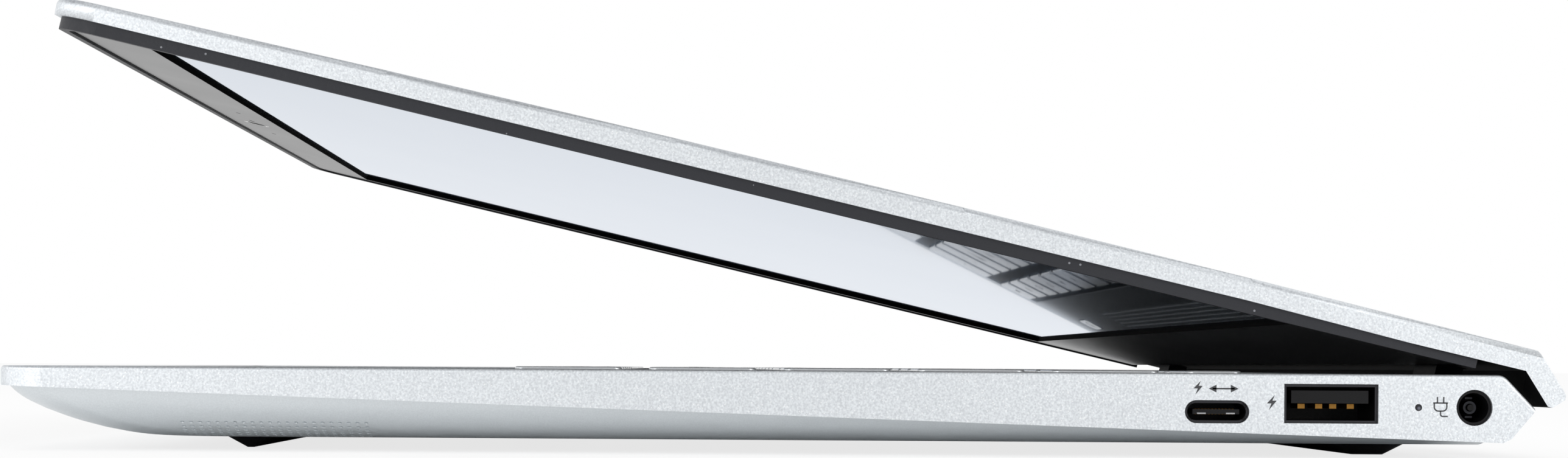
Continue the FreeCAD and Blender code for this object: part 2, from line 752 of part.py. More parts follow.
def usb_a_port():
    x1 = HALF - PORT_SETBACK
    x0 = x1 - USB_A_LENGTH
    y, z = USB_A_Y, -USB_A_DROP
    shell = block(USB_A_WIDTH, USB_A_HEIGHT, y, z, x0, x1)
    wide, tall = USB_A_WIDTH - 2 * PORT_SHELL, USB_A_HEIGHT - 2 * PORT_SHELL
    room = block(wide, tall, y, z, x0 + USB_A_BACK, x1 + 1)
    tongue = block(USB_A_TONGUE_WIDTH, USB_A_TONGUE, y, z + USB_A_TONGUE_DROP, x0, x1 - PORT_SETBACK)
    return join([shell.cut(room), tongue])


def usb_c_port():
    x1 = HALF - PORT_SETBACK
    x0 = x1 - USB_C_LENGTH
    y, z = USB_C_Y, -USB_C_DROP
    shell = stadium(USB_C_WIDTH, USB_C_HEIGHT, y, z, x0, x1)
    wide, tall = USB_C_WIDTH - 2 * PORT_SHELL, USB_C_HEIGHT - 2 * PORT_SHELL
    room = stadium(wide, tall, y, z, x0 + USB_C_BACK, x1 + 1)
    tongue = block(USB_C_TONGUE_WIDTH, USB_C_TONGUE, y, z, x0, x1 - PORT_SETBACK)
    return join([shell.cut(room), tongue])


def barrel_socket(y, drop, radius, body, length, bore, bore_depth):
    """A square socket body with a round nose in the wall and a bore."""
    x1 = HALF - PORT_SETBACK
    inside = HALF - WALL - PORT_FIT
    shape = join([block(body, body, y, -drop, x1 - length, inside), crossways(radius, inside, x1, y, -drop)])
    return shape.cut(crossways(bore, x1 - bore_depth, x1 + 1, y, -drop))


def dc_jack():
    sizes = (DC_RADIUS, DC_BODY, DC_LENGTH, DC_BORE, DC_BORE_DEPTH)
    socket = barrel_socket(DC_Y, DC_DROP, *sizes)
    x1 = HALF - PORT_SETBACK
    pin = crossways(DC_PIN_RADIUS, x1 - DC_BORE_DEPTH, x1 - DC_PIN_SETBACK, DC_Y, -DC_DROP)
    return join([socket, pin])


def audio_jack():
    sizes = (AUDIO_RADIUS, AUDIO_BODY, AUDIO_LENGTH, AUDIO_BORE, AUDIO_DEPTH)
    return mirrored(barrel_socket(AUDIO_Y, AUDIO_DROP, *sizes))


def card_slot():
    x1 = HALF - PORT_SETBACK
    body = block(CARD_WIDTH, CARD_HEIGHT, CARD_Y, -CARD_DROP, x1 - CARD_LENGTH, x1)
    slot = block(CARD_SLOT_WIDTH, CARD_SLOT_HEIGHT, CARD_Y, -CARD_DROP, x1 - CARD_SLOT_DEPTH, x1 + 1)
    return mirrored(body.cut(slot))


def charge_light():
    x1 = HALF - LED_FIT
    return crossways(LED_RADIUS, x1 - LED_LENGTH, x1, LED_Y, -LED_DROP)


def socket_cuts():
    x0, x1 = HALF - WALL - 1.0, HALF + 1.0
    fit = 2 * PORT_FIT
    usb_a = block(USB_A_WIDTH + fit, USB_A_HEIGHT + fit, USB_A_Y, -USB_A_DROP, x0, x1)
    usb_c = stadium(USB_C_WIDTH + fit, USB_C_HEIGHT + fit, USB_C_Y, -USB_C_DROP, x0, x1)
    cuts = both(usb_a) + both(usb_c)
    cuts.append(crossways(DC_RADIUS + PORT_FIT, x0, x1, DC_Y, -DC_DROP))
    cuts.append(crossways(LED_RADIUS + LED_FIT, x0, x1, LED_Y, -LED_DROP))
    cuts.append(mirrored(crossways(AUDIO_RADIUS + PORT_FIT, x0, x1, AUDIO_Y, -AUDIO_DROP)))
    cuts.append(mirrored(block(CARD_WIDTH + fit, CARD_HEIGHT + fit, CARD_Y, -CARD_DROP, x0, x1)))
    return cuts


# Parts inside the base
def motherboard():
    return box(BOARD_LEFT, BOARD_X, BOARD_FRONT, BOARD_REAR_Y, BOARD_UNDER, BOARD_TOP)


def io_board():
    return box(-BOARD_X, -BOARD_X + IO_WIDTH, IO_FRONT, BOARD_REAR_Y, BOARD_UNDER, BOARD_TOP)


def under_board(x, y, wide, deep, thick):
    return box(x - wide / 2, x + wide / 2, y - deep / 2, y + deep / 2, BOARD_UNDER - thick, BOARD_UNDER)


def heat_pipe():
    top = BOARD_UNDER - PROCESSOR_T
    low = top - PIPE_T
    half = PIPE_WIDTH / 2
    y = fin_front() + FIN_DEPTH / 2
    run = box(PROCESSOR_X - half, PROCESSOR_X + half, PROCESSOR_Y, y + half, low, top)
    reach = FAN_X - FIN_COUNT * FIN_PITCH / 2
    return join([run, box(reach, PROCESSOR_X + half, y - half, y + half, low, top)])


def fin_front():
    return FAN_Y + FAN_SIZE / 2 + FIN_GAP


def heatsink_fins():
    base = BOARD_UNDER - PROCESSOR_T
    half = FIN_COUNT * FIN_PITCH / 2
    y0, y1 = fin_front(), fin_front() + FIN_DEPTH
    pieces = [box(FAN_X - half, FAN_X + half, y0, y1, base, base + FIN_BASE)]
    for index in range(FIN_COUNT):
        x = FAN_X - half + (index + 0.5) * FIN_PITCH
        pieces.append(box(x - FIN_T / 2, x + FIN_T / 2, y0, y1, base + FIN_BASE, -FIN_TOP))
    return join(pieces)


def fan_housing():
    half = FAN_SIZE / 2
    low = -FAN_TOP - FAN_HEIGHT
    shape = box(FAN_X - half, FAN_X + half, FAN_Y - half, FAN_Y + half, low, -FAN_TOP)
    inner = half - FAN_WALL
    y1 = FAN_Y + half + 1
    room = box(FAN_X - inner, FAN_X + inner, FAN_Y - inner, y1, low + FAN_WALL, -FAN_TOP - FAN_WALL)
    intake = upright(FAN_INTAKE, FAN_X, FAN_Y, low - 1, low + FAN_WALL + 0.5)
    ceiling = -FAN_TOP - FAN_WALL
    post = upright(FAN_POST, FAN_X, FAN_Y, rotor_low() + ROTOR_CAP + FAN_POST_GAP, ceiling)
    return join([shape.cut([room, intake]), post])


def rotor_low():
    return -FAN_TOP - FAN_HEIGHT + FAN_WALL + ROTOR_GAP


def fan_rotor():
    top = -FAN_TOP - FAN_WALL - ROTOR_GAP
    low = rotor_low()
    pieces = [upright(ROTOR_HUB, FAN_X, FAN_Y, low, top)]
    for index in range(BLADE_COUNT):
        blade = box(ROTOR_HUB - 1.0, ROTOR_RADIUS, -BLADE_T / 2, BLADE_T / 2, low, top)
        blade.rotate(V(ROTOR_HUB, 0, 0), V(0, 0, 1), BLADE_RAKE)
        blade.rotate(V(0, 0, 0), V(0, 0, 1), 360.0 * index / BLADE_COUNT)
        blade.translate(V(FAN_X, FAN_Y, 0))
        pieces.append(blade)
    limit = upright(ROTOR_RADIUS, FAN_X, FAN_Y, low - 1, top + 1)
    bore = upright(FAN_POST + RUNNING_FIT, FAN_X, FAN_Y, low + ROTOR_CAP, top + 1)
    return join(pieces).common(limit).cut(bore)


def battery_pack():
    half = BATTERY_WIDTH / 2
    low = INNER_FLOOR + INNER_GAP
    top = low + BATTERY_T
    pack = box(-half, half, BATTERY_FRONT, BATTERY_FRONT + BATTERY_DEPTH, low, top)
    grooves = []
    for index in range(1, BATTERY_CELLS):
        x = -half + index * BATTERY_WIDTH / BATTERY_CELLS
        y1 = BATTERY_FRONT + BATTERY_DEPTH * 0.9
        grooves.append(box(x - BATTERY_GROOVE, x + BATTERY_GROOVE, 0.0, y1, top - BATTERY_GROOVE, top + 1))
    return pack.cut(grooves)


def speaker():
    x, y = SPEAKER_WIDTH / 2, SPEAKER_LENGTH / 2
    top = -SPEAKER_DROP
    return slab(SPEAKER_X - x, SPEAKER_X + x, SPEAKER_Y - y, SPEAKER_Y + y, top - SPEAKER_T, top, SPEAKER_ROUND)


# Hinges, right-hand side; the left-hand ones are mirrored
def base_hinge_bracket():
    x0 = KNUCKLE_INNER - KNUCKLE_LENGTH
    top = DECK_UNDER
    plate = box(x0, KNUCKLE_INNER, HINGE_Y - BRACKET_LENGTH, HINGE_Y, top - BRACKET_T, top)
    knuckle = crossways(KNUCKLE_RADIUS, x0, KNUCKLE_INNER, HINGE_Y, HINGE_Z)
    bore = crossways(PIN_RADIUS + RUNNING_FIT, x0 - 1, KNUCKLE_INNER + 1, HINGE_Y, HINGE_Z)
    holes = [upright(HINGE_SCREW_RADIUS * 0.6, x, y, -FAR, FAR) for x, y in hinge_screw_places()]
    return join([plate, knuckle]).cut([bore] + holes)


def hinge_screw_places():
    x = KNUCKLE_INNER - KNUCKLE_LENGTH / 2
    y0 = HINGE_Y - BRACKET_LENGTH
    return [(x, y0 + BRACKET_LENGTH * 0.2), (x, y0 + BRACKET_LENGTH * 0.55)]


def hinge_screws():
    screws = []
    under = DECK_UNDER - BRACKET_T
    for x, y in hinge_screw_places():
        head = upright(HINGE_SCREW_RADIUS, x, y, under - HINGE_SCREW_HEAD, under)
        screw = join([head, upright(HINGE_SCREW_RADIUS * 0.58, x, y, under, DECK_UNDER)])
        screws += both(screw)
    return Part.makeCompound(screws)


def hinge_pin():
    x0 = KNUCKLE_INNER - KNUCKLE_LENGTH - PIN_OVERHANG
    x1 = KNUCKLE_OUTER + KNUCKLE_LENGTH + PIN_OVERHANG
    return crossways(PIN_RADIUS, x0, x1, HINGE_Y, HINGE_Z)


def lid_hinge_bracket():
    x0, x1 = KNUCKLE_OUTER, KNUCKLE_OUTER + KNUCKLE_LENGTH
    top = HINGE_Z + LID_PLATE_V + LID_PLATE_T
    eye = crossways(KNUCKLE_RADIUS, x0, x1, HINGE_Y, HINGE_Z)
    arm = box(x0, x1, HINGE_Y - LID_ARM_FRONT, HINGE_Y + LID_ARM_REAR, HINGE_Z, top)
    inner = HINGE_Y - LINING_FRONT
    neck = box(x0, x1, inner - LINING_FRONT, HINGE_Y, HINGE_Z + LID_PLATE_V, top)
    middle = (x0 + x1) / 2
    half = LID_PLATE_WIDTH / 2
    low = HINGE_Z + LID_PLATE_V
    plate = box(middle - half, middle + half, inner - LID_PLATE_LENGTH, inner - 0.5, low, top)
    bore = crossways(PIN_RADIUS + SEAT_FIT, x0 - 1, x1 + 1, HINGE_Y, HINGE_Z)
    return join([eye, arm, neck, plate]).cut(bore)


# Lid, drawn closed: u is behind the hinge line and v above it
def at_hinge(points):
    return [(HINGE_Y + u, HINGE_Z + v) for u, v in points]


def tail_frame():
    """Outer corner of the bent-down tail, its direction and the direction through its thickness."""
    angle = math.radians(TAIL_ANGLE)
    corner = (TAIL_CORNER, LID_V + LID_REAR_T)
    return corner, (math.cos(angle), -math.sin(angle)), (-math.sin(angle), -math.cos(angle))


def tail_point(along, inward):
    (u, v), d, n = tail_frame()
    return (u + along * d[0] + inward * n[0], v + along * d[1] + inward * n[1])


def tail_inner(level, inward):
    """Where a line inside the tail meets the height level."""
    (u, v), d, n = tail_frame()
    start = tail_point(0.0, inward)
    along = (level - start[1]) / d[1]
    return tail_point(along, inward)


def lid_outside():
    end = TAIL_LENGTH - TAIL_ROUND
    lower = [tail_point(end, 0.0), tail_point(TAIL_LENGTH, TAIL_ROUND)]
    lower += [tail_point(TAIL_LENGTH, TAIL_T - TAIL_ROUND), tail_point(end, TAIL_T)]
    lower += [tail_inner(LINING_V, TAIL_T), (-LID_STEP_END, LINING_V), (-LID_STEP_Y, LID_V)]
    lower += [(-LID_REACH + LID_LIP_RAKE, LID_V)]
    front, rear = (-LID_REACH, LID_V + LID_EDGE_T), (TAIL_CORNER, LID_V + LID_REAR_T)
    crown = (-LID_REACH / 2, LID_V + LID_CROWN_T)
    ends = [V(-HALF, y, z) for y, z in at_hinge([front, crown, rear])]
    corners = [V(-HALF, y, z) for y, z in at_hinge([rear] + lower + [front])]
    section = Part.Wire([Part.Arc(*ends).toShape()] + Part.makePolygon(corners).Edges)
    shape = Part.Face(section).extrude(V(WIDTH, 0, 0))
    y0 = HINGE_Y - LID_REACH
    plan = slab(-HALF, HALF, y0, HINGE_Y + FAR / 5, -FAR / 5, FAR / 5, CORNER_RADIUS, 0.0)
    shape = shape.common(plan)
    top = HINGE_Z + LID_V + LID_EDGE_T
    rim = [e for e in shape.Edges if e.BoundBox.ZMin > top - 0.3 and e.BoundBox.YMin < HINGE_Y]
    return shape.makeFillet(LID_ROUND, rim)


def lining_section():
    front = -LINING_FRONT
    inner = [(front, LINING_V), tail_inner(LINING_V, TAIL_T), tail_point(TAIL_LENGTH - TAIL_ROUND, TAIL_T)]
    depth = TAIL_T - LINING_T
    outer = [tail_point(TAIL_LENGTH - TAIL_ROUND, depth), tail_inner(LINING_V + LINING_T, depth)]
    return at_hinge(inner + outer + [(front, LINING_V + LINING_T)])


def lid_cover():
    inner = HALF - LID_WALL
    y0 = HINGE_Y - LID_REACH + LID_WALL
    ceiling = HINGE_Z + POCKET_V
    pocket = slab(-inner, inner, y0, HINGE_Y - LINING_FRONT, -FAR / 5, ceiling, CORNER_RADIUS - LID_WALL, 0.0)
    lining = NOSE_X - LINING_MARGIN
    return lid_outside().cut([pocket, prism_x(lining_section(), -lining, lining)])


def hinge_cover():
    lining = NOSE_X - LINING_MARGIN
    x0, x1 = KNUCKLE_OUTER - 0.5, KNUCKLE_OUTER + KNUCKLE_LENGTH + 0.5
    room = box(x0, x1, HINGE_Y - FAR, HINGE_Y + LID_ARM_REAR + 0.6, -FAR, FAR)
    return prism_x(lining_section(), -lining, lining).cut(both(room))


def lid_ring(inset, z0, z1, y1, corner):
    half = HALF - inset
    y0 = HINGE_Y - LID_REACH + LID_LIP_RAKE + inset
    return slab(-half, half, y0, y1, z0, z1, corner, 0.0)


def lid_gasket(cover):
    z0, z1 = HINGE_Z + GASKET_V, HINGE_Z + LID_V
    y1 = HINGE_Y - GASKET_REAR
    inner = GASKET_INSET + GASKET_WIDTH
    outside = lid_ring(GASKET_INSET, z0, z1, y1, CORNER_RADIUS - GASKET_INSET)
    inside = lid_ring(inner, z0 - 1, z1 + 1, y1 + FAR / 5, CORNER_RADIUS - inner)
    return outside.cut(inside).cut(cover)


def display_bezel():
    inset = GASKET_INSET + GASKET_WIDTH + BEZEL_GAP
    y1 = HINGE_Y - LINING_FRONT - BEZEL_GAP
    z0, z1 = HINGE_Z + BEZEL_V, HINGE_Z + GLASS_V
    plate = lid_ring(inset, z0, z1, y1, CORNER_RADIUS - inset)
    half = VIEW_WIDTH / 2
    view = box(-half, half, HINGE_Y + VIEW_FRONT, HINGE_Y + VIEW_REAR, z0 - 1, z1 + 1)
    lens = upright(WEBCAM_LENS_RADIUS + LENS_FIT, 0.0, webcam_y(), z0 - 1, z1 + 1)
    chin = box(-half, half, HINGE_Y + VIEW_REAR + CHIN_STEP, y1, z1, HINGE_Z + LID_PLATE_V)
    return join([plate.cut([view, lens]), chin])


def webcam_y():
    return HINGE_Y - LID_REACH + WEBCAM_SETBACK


def behind_view(lap, v0, v1):
    half = VIEW_WIDTH / 2 + lap
    y0, y1 = HINGE_Y + VIEW_FRONT - lap, HINGE_Y + VIEW_REAR + lap
    return box(-half, half, y0, y1, HINGE_Z + v0, HINGE_Z + v1)


def webcam_module():
    x, y = WEBCAM_LENGTH / 2, WEBCAM_DEPTH / 2
    z = HINGE_Z + GLASS_V
    return box(-x, x, webcam_y() - y, webcam_y() + y * 0.8, z, z + WEBCAM_T)


def webcam_lens():
    return upright(WEBCAM_LENS_RADIUS, 0.0, webcam_y(), HINGE_Z + BEZEL_V + LENS_RECESS, HINGE_Z + GLASS_V)


def antenna_boards():
    x, y = ANTENNA_LENGTH / 2, WEBCAM_DEPTH / 2
    z = HINGE_Z + GLASS_V
    board = box(ANTENNA_X - x, ANTENNA_X + x, webcam_y() - y, webcam_y() + y * 0.8, z, z + ANTENNA_T)
    return Part.makeCompound(both(board))


def lid_pieces():
    pieces = {"lid_cover": lid_cover()}
    pieces["lid_gasket"] = lid_gasket(pieces["lid_cover"])
    pieces["display_bezel"] = display_bezel()
    pieces["display_glass"] = behind_view(GLASS_LAP, GLASS_V, PANEL_V)
    pieces["lcd_panel"] = behind_view(PANEL_LAP, PANEL_V, PANEL_V + PANEL_T)
    pieces["webcam_module"] = webcam_module()
    pieces["webcam_lens"] = webcam_lens()
    pieces["antenna_boards"] = antenna_boards()
    pieces["hinge_cover"] = hinge_cover()
    pieces["lid_hinge_bracket_right"], pieces["lid_hinge_bracket_left"] = both(lid_hinge_bracket())
    pieces["hinge_pin_right"], pieces["hinge_pin_left"] = both(hinge_pin())
    return pieces


def base_pieces():
    pieces = {"top_case": top_case(), "bottom_cover": bottom_cover()}
    pieces["cover_screws"] = cover_screws()
    pieces["front_foot"] = foot(FRONT_FOOT_Y, FRONT_FOOT_WIDTH)
    pieces["rear_foot"] = foot(REAR_FOOT_Y, REAR_FOOT_WIDTH)
    pieces["keyboard_frame"] = keyboard_frame()
    pieces["keyboard_plate"] = keyboard_plate()
    pieces["speaker_grille"] = grille_field(0.0, -GRILLE_RECESS - GRILLE_T, -GRILLE_RECESS)
    pieces["touchpad_bracket"] = touchpad_bracket()
    pieces["touchpad_switch"] = touchpad_switch()
    pieces["base_hinge_bracket_right"], pieces["base_hinge_bracket_left"] = both(base_hinge_bracket())
    pieces["hinge_screws"] = hinge_screws()
    pieces["motherboard"] = motherboard()
    pieces["io_board"] = io_board()
    pieces["processor"] = under_board(PROCESSOR_X, PROCESSOR_Y, PROCESSOR_WIDTH, PROCESSOR_DEPTH, PROCESSOR_T)
    pieces["ssd_module"] = under_board(SSD_X, SSD_Y, SSD_LENGTH, SSD_WIDTH, SSD_T)
    pieces["wireless_card"] = under_board(WIRELESS_X, WIRELESS_Y, WIRELESS_WIDTH, WIRELESS_LENGTH, WIRELESS_T)
    pieces["heat_pipe"] = heat_pipe()
    pieces["heatsink_fins"] = heatsink_fins()
    pieces["fan_housing"] = fan_housing()
    pieces["battery_pack"] = battery_pack()
    pieces["speaker_right"], pieces["speaker_left"] = both(speaker())
    pieces["usb_a_port_right"], pieces["usb_a_port_left"] = both(usb_a_port())
    pieces["usb_c_port_right"], pieces["usb_c_port_left"] = both(usb_c_port())
    pieces["dc_jack"] = dc_jack()
    pieces["audio_jack"] = audio_jack()
    pieces["card_slot"] = card_slot()
    pieces["charge_light"] = charge_light()
    return pieces


def moving_pieces():
    pieces = key_groups()
    pieces["touchpad"] = touchpad()
    pieces["power_button"] = button_field(0.0, BUTTON_PROUD - BUTTON_HEIGHT, BUTTON_PROUD)
    pieces["fan_rotor"] = fan_rotor()
    return pieces


def opened(pieces):
    for shape in pieces.values():
        shape.rotate(V(0, HINGE_Y, HINGE_Z), V(1, 0, 0), -OPEN_ANGLE)
    return pieces


def all_pieces():
    pieces = opened(lid_pieces())
    pieces.update(base_pieces())
    pieces.update(moving_pieces())
    whole = Part.makeCompound(list(pieces.values())).optimalBoundingBox(False)
    move = V(0.0, -(whole.YMin + whole.YMax) / 2, -whole.ZMin)
    for shape in pieces.values():
        shape.translate(move)
    return pieces, move


def main():
    os.makedirs("parts", exist_ok=True)
    pieces, move = all_pieces()
    for node, shape in pieces.items():
        shape.exportStep("parts/%s.step" % node)
    print(len(pieces), "pieces, moved by", move)


main()
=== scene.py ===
# %% [markdown]
# A thin silver laptop computer, seen from its right side with the lid a little open. The CAD solids
# come first, as a fixed frame: every piece made below takes its place and its size from them. Nothing
# is moved to fit, so the moving parts keep working.
# %% Load the solids
import json
import math
import bmesh
import bpy
from mathutils import Euler, Matrix, Vector


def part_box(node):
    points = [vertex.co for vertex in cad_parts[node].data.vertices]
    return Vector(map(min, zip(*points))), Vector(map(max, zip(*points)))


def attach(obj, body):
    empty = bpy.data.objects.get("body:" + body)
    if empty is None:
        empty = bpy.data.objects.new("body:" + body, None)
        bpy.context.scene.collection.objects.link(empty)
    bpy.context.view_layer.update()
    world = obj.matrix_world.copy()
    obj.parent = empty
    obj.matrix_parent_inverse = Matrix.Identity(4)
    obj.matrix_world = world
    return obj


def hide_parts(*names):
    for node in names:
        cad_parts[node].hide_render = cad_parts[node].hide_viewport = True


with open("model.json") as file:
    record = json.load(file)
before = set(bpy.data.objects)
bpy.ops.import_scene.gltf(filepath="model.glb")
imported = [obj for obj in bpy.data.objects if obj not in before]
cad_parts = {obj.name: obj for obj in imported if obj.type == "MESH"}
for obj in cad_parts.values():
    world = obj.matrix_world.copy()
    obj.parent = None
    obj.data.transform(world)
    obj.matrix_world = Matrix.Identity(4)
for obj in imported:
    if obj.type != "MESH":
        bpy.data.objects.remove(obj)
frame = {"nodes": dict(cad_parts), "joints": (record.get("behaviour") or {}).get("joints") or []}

for leftover in ("Cube", "Light", "Camera"):
    if leftover in bpy.data.objects:
        bpy.data.objects.remove(bpy.data.objects[leftover])
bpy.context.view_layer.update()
nodes = frame["nodes"]

# %% [markdown]
# The drawing was made in millimetres, from the front lip backwards and from the deck up or down. One
# small function turns such a place into Blender's metres, so that sizes read as on a drawing.
# %% Places in millimetres
MM = 0.001
case_low, case_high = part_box("top_case")
FRONT, DECK, HALF = case_low.y, case_high.z, case_high.x / MM


def at(x, y, z):
    return Vector((x * MM, FRONT + y * MM, DECK + z * MM))


print("deck is", round(DECK / MM, 2), "mm above the floor; half the width is", round(HALF, 2), "mm")

# %% [markdown]
# The photograph was taken from the right side, level with the deck, a little over half a metre from the
# middle of the computer. Its optical centre isn't the middle of the frame, so the picture was cropped:
# a camera shift does the same. All of these numbers were worked out from edges whose real sizes are
# known.
# %% Camera
PHOTO_WIDTH, PHOTO_HEIGHT = 2576, 753
FOCAL, CENTRE_X, CENTRE_Y = 4794.0, 1110.0, 602.0
CAMERA_PLACE = at(564.2, 96.6, 0.5)
CAMERA_ROLL = math.radians(0.38)
QUARTER_TURN = math.radians(90)
eye = bpy.data.cameras.new("side_camera")
eye.sensor_fit = "HORIZONTAL"
eye.sensor_width = 36.0
eye.lens = eye.sensor_width * FOCAL / PHOTO_WIDTH
eye.shift_x = (PHOTO_WIDTH / 2 - CENTRE_X) / PHOTO_WIDTH
eye.shift_y = (CENTRE_Y - PHOTO_HEIGHT / 2) / PHOTO_WIDTH
eye.clip_start = 0.01
camera = bpy.data.objects.new("side_camera", eye)
bpy.context.scene.collection.objects.link(camera)
facing_left = Euler((QUARTER_TURN, 0, QUARTER_TURN)).to_matrix().to_4x4()
camera.matrix_world = Matrix.Translation(CAMERA_PLACE) @ facing_left @ Matrix.Rotation(CAMERA_ROLL, 4, "Z")
bpy.context.scene.camera = camera
bpy.context.scene.view_settings.view_transform = "Standard"
print("lens", round(eye.lens, 2), "mm, shift", round(eye.shift_x, 4), round(eye.shift_y, 4))

# %% [markdown]
# Nodes are easier to read as expressions than as lists. A Wire wraps one socket, and its operators add
# Math nodes. A Tree has one method that makes any node: the settings come first and then the sockets,
# each a plain value or a Wire. Finishes, repeated shapes and the studio are all written in this way.
# %% A small language for nodes
class Wire:
    def __init__(self, tree, socket):
        self.tree, self.socket = tree, socket

    def out(self, name):
        return Wire(self.tree, self.socket.node.outputs[name])

    def __add__(self, other):
        return self.tree.maths("ADD", self, other)

    def __sub__(self, other):
        return self.tree.maths("SUBTRACT", self, other)

    def __rsub__(self, other):
        return self.tree.maths("SUBTRACT", other, self)

    def __mul__(self, other):
        return self.tree.maths("MULTIPLY", self, other)

    def __rtruediv__(self, other):
        return self.tree.maths("DIVIDE", other, self)

    def __lt__(self, other):
        return self.tree.maths("LESS_THAN", self, other)

    __radd__, __rmul__ = __add__, __mul__


class Tree:
    def __init__(self, data):
        self.data = data
        data.nodes.clear()

    def node(self, kind, settings=None, sockets=None, out=0):
        node = self.data.nodes.new(kind)
        for name, value in (settings or {}).items():
            if name == "stops":
                stops = node.color_ramp.elements
                while len(stops) < len(value):
                    stops.new(0.5)
                for stop, (place, colour) in zip(stops, value):
                    stop.position, stop.color = place, colour
            else:
                setattr(node, name, value)
        for name, value in (sockets or {}).items():
            if isinstance(value, Wire):
                self.data.links.new(value.socket, node.inputs[name])
            else:
                node.inputs[name].default_value = value
        return Wire(self, node.outputs[out]) if node.outputs else None

    def maths(self, operation, *values):
        return self.node("ShaderNodeMath", {"operation": operation}, dict(enumerate(values)))

    def blend(self, share, first, second):
        sockets = {0: share, 6: first, 7: second}
        return self.node("ShaderNodeMix", {"data_type": "RGBA"}, sockets, 2)

    def fade(self, value, start, end, first=0.0, last=1.0):
        """Goes from first to last while a value goes from start to end, and is level outside."""
        sockets = {"Value": value, "From Min": start, "From Max": end, "To Min": first, "To Max": last}
        return self.node("ShaderNodeMapRange", {"clamp": True}, sockets)


print("node language ready:", Wire.__name__, "and", Tree.__name__)

# %% [markdown]
# A Finish is the tree of one material. It knows the patterns that most finishes share: a cloudy noise,
# sparse round dots, and a bump made from a height. All of them lie on Object coordinates, so a pattern
# stays in place when a part moves. The surface method ends the tree in one shader.
# %% Finishes
BLACK, WHITE = (0, 0, 0, 1), (1, 1, 1, 1)


class Finish(Tree):
    made = []

    def __init__(self, name):
        self.material = bpy.data.materials.new(name)
        self.material.use_nodes = True
        super().__init__(self.material.node_tree)
        self.made.append(name)

    def place(self):
        return self.node("ShaderNodeTexCoord", out="Object")

    def noise(self, size, detail=2.0, rough=0.5):
        sockets = {"Vector": self.place(), "Scale": 1 / size, "Detail": detail, "Roughness": rough}
        return self.node("ShaderNodeTexNoise", {}, sockets)

    def specks(self, size, spread, coverage):
        """Round dots in a share of the cells of a random pattern: 1 on a dot."""
        sockets = {"Vector": self.place(), "Scale": 1 / spread, "Randomness": 1.0}
        cells = self.node("ShaderNodeTexVoronoi", {}, sockets)
        chosen = self.node("ShaderNodeSeparateColor", {}, {"Color": cells.out("Color")})
        return (cells < size / spread) * (chosen < coverage)

    def bump(self, height, depth, strength=1.0):
        return self.node("ShaderNodeBump", {}, {"Height": height, "Distance": depth, "Strength": strength})

    def surface(self, **sockets):
        named = {name.replace("_", " "): value for name, value in sockets.items()}
        shader = self.node("ShaderNodeBsdfPrincipled", {}, named)
        self.node("ShaderNodeOutputMaterial", {}, {"Surface": shader})
        return self.material


def tone(red, green, blue):
    """A colour as a paint program gives it, from 0 to 255, in the linear numbers that shaders use."""
    linear = []
    for value in (red, green, blue):
        share = value / 255
        linear.append(share / 12.92 if share <= 0.04045 else ((share + 0.055) / 1.055) ** 2.4)
    return (*linear, 1.0)


def darker(colour, share):
    return tone(*[share * value for value in colour])


print("a middle grey in linear numbers:", [round(v, 3) for v in tone(128, 128, 128)])

# %% [markdown]
# The case is aluminium that was sand-blasted and then anodised: the blasting leaves a fine, even grain,
# and single facets of it glint. It could be a flat grey metal, but then it looks like plastic. Here a
# fine noise turns the colour, the roughness and the normal a little, and a few bright dots painted into
# the colour stand for the glints: painted highlights.
# The keys are plastic under a smooth metallic paint: less metal, and hardly any relief.
# %% Silver of the case, and the painted keys
# GLINT is the colour of painted highlights: bright dots drawn into the base colour stand for glints.
GLINT = tone(252, 253, 254)


def blasted_silver(name, light, dark, grain, glint, rough, metal=0.86, relief=0.5):
    finish = Finish(name)
    fine = finish.noise(grain, rough=0.6)
    broad = finish.noise(60 * grain)
    # Painted highlights: a share of random dots is made brighter in the base colour, as glints.
    glints = finish.specks(size=0.32 * grain, spread=1.6 * grain, coverage=0.35)
    contrast = finish.node("ShaderNodeValToRGB", {"stops": [(0.34, BLACK), (0.66, WHITE)]}, {"Fac": fine})
    body = finish.blend(contrast, dark, light)
    return finish.surface(
        Base_Color=finish.blend(glints * glint, body, GLINT), Metallic=metal,
        Roughness=rough + 0.10 * fine + 0.06 * broad, Normal=finish.bump(fine, 0.16 * grain, relief))


silver = blasted_silver(
    "silver", tone(232, 236, 239), tone(206, 210, 214), grain=0.32 * MM, glint=0.55, rough=0.38)
fine_silver = blasted_silver(
    "fine_silver", tone(220, 225, 228), tone(212, 217, 220), grain=0.22 * MM, glint=0.2, rough=0.24)
key_silver = blasted_silver(
    "key_silver", tone(222, 225, 228), tone(210, 213, 216), grain=0.22 * MM, glint=0.3, rough=0.12,
    metal=0.55, relief=0.1)
print("finishes:", silver.name, fine_silver.name, key_silver.name)

# %% [markdown]
# Round the screen runs a soft black lip that meets the deck when the lid is shut. It is moulded rubber:
# matt, very dark, a little blue, and it collects dust. The dust is drawn as sparse pale dots.
# %% Rubber
def moulded_rubber(name, colour, dusty):
    finish = Finish(name)
    grain = finish.noise(0.6 * MM, detail=3.0)
    dust = finish.specks(size=0.16 * MM, spread=2.2 * MM, coverage=dusty)
    body = finish.blend(grain, darker(colour, 0.84), tone(*colour))
    return finish.surface(
        Base_Color=finish.blend(0.6 * dust, body, tone(150, 152, 158)),
        Roughness=0.42 + 0.2 * grain, Normal=finish.bump(grain, 0.05 * MM, 0.6))


lip_rubber = moulded_rubber("lip_rubber", (24, 26, 34), dusty=0.34)
foot_rubber = moulded_rubber("foot_rubber", (24, 24, 27), dusty=0.12)
print("finishes:", lip_rubber.name, foot_rubber.name)

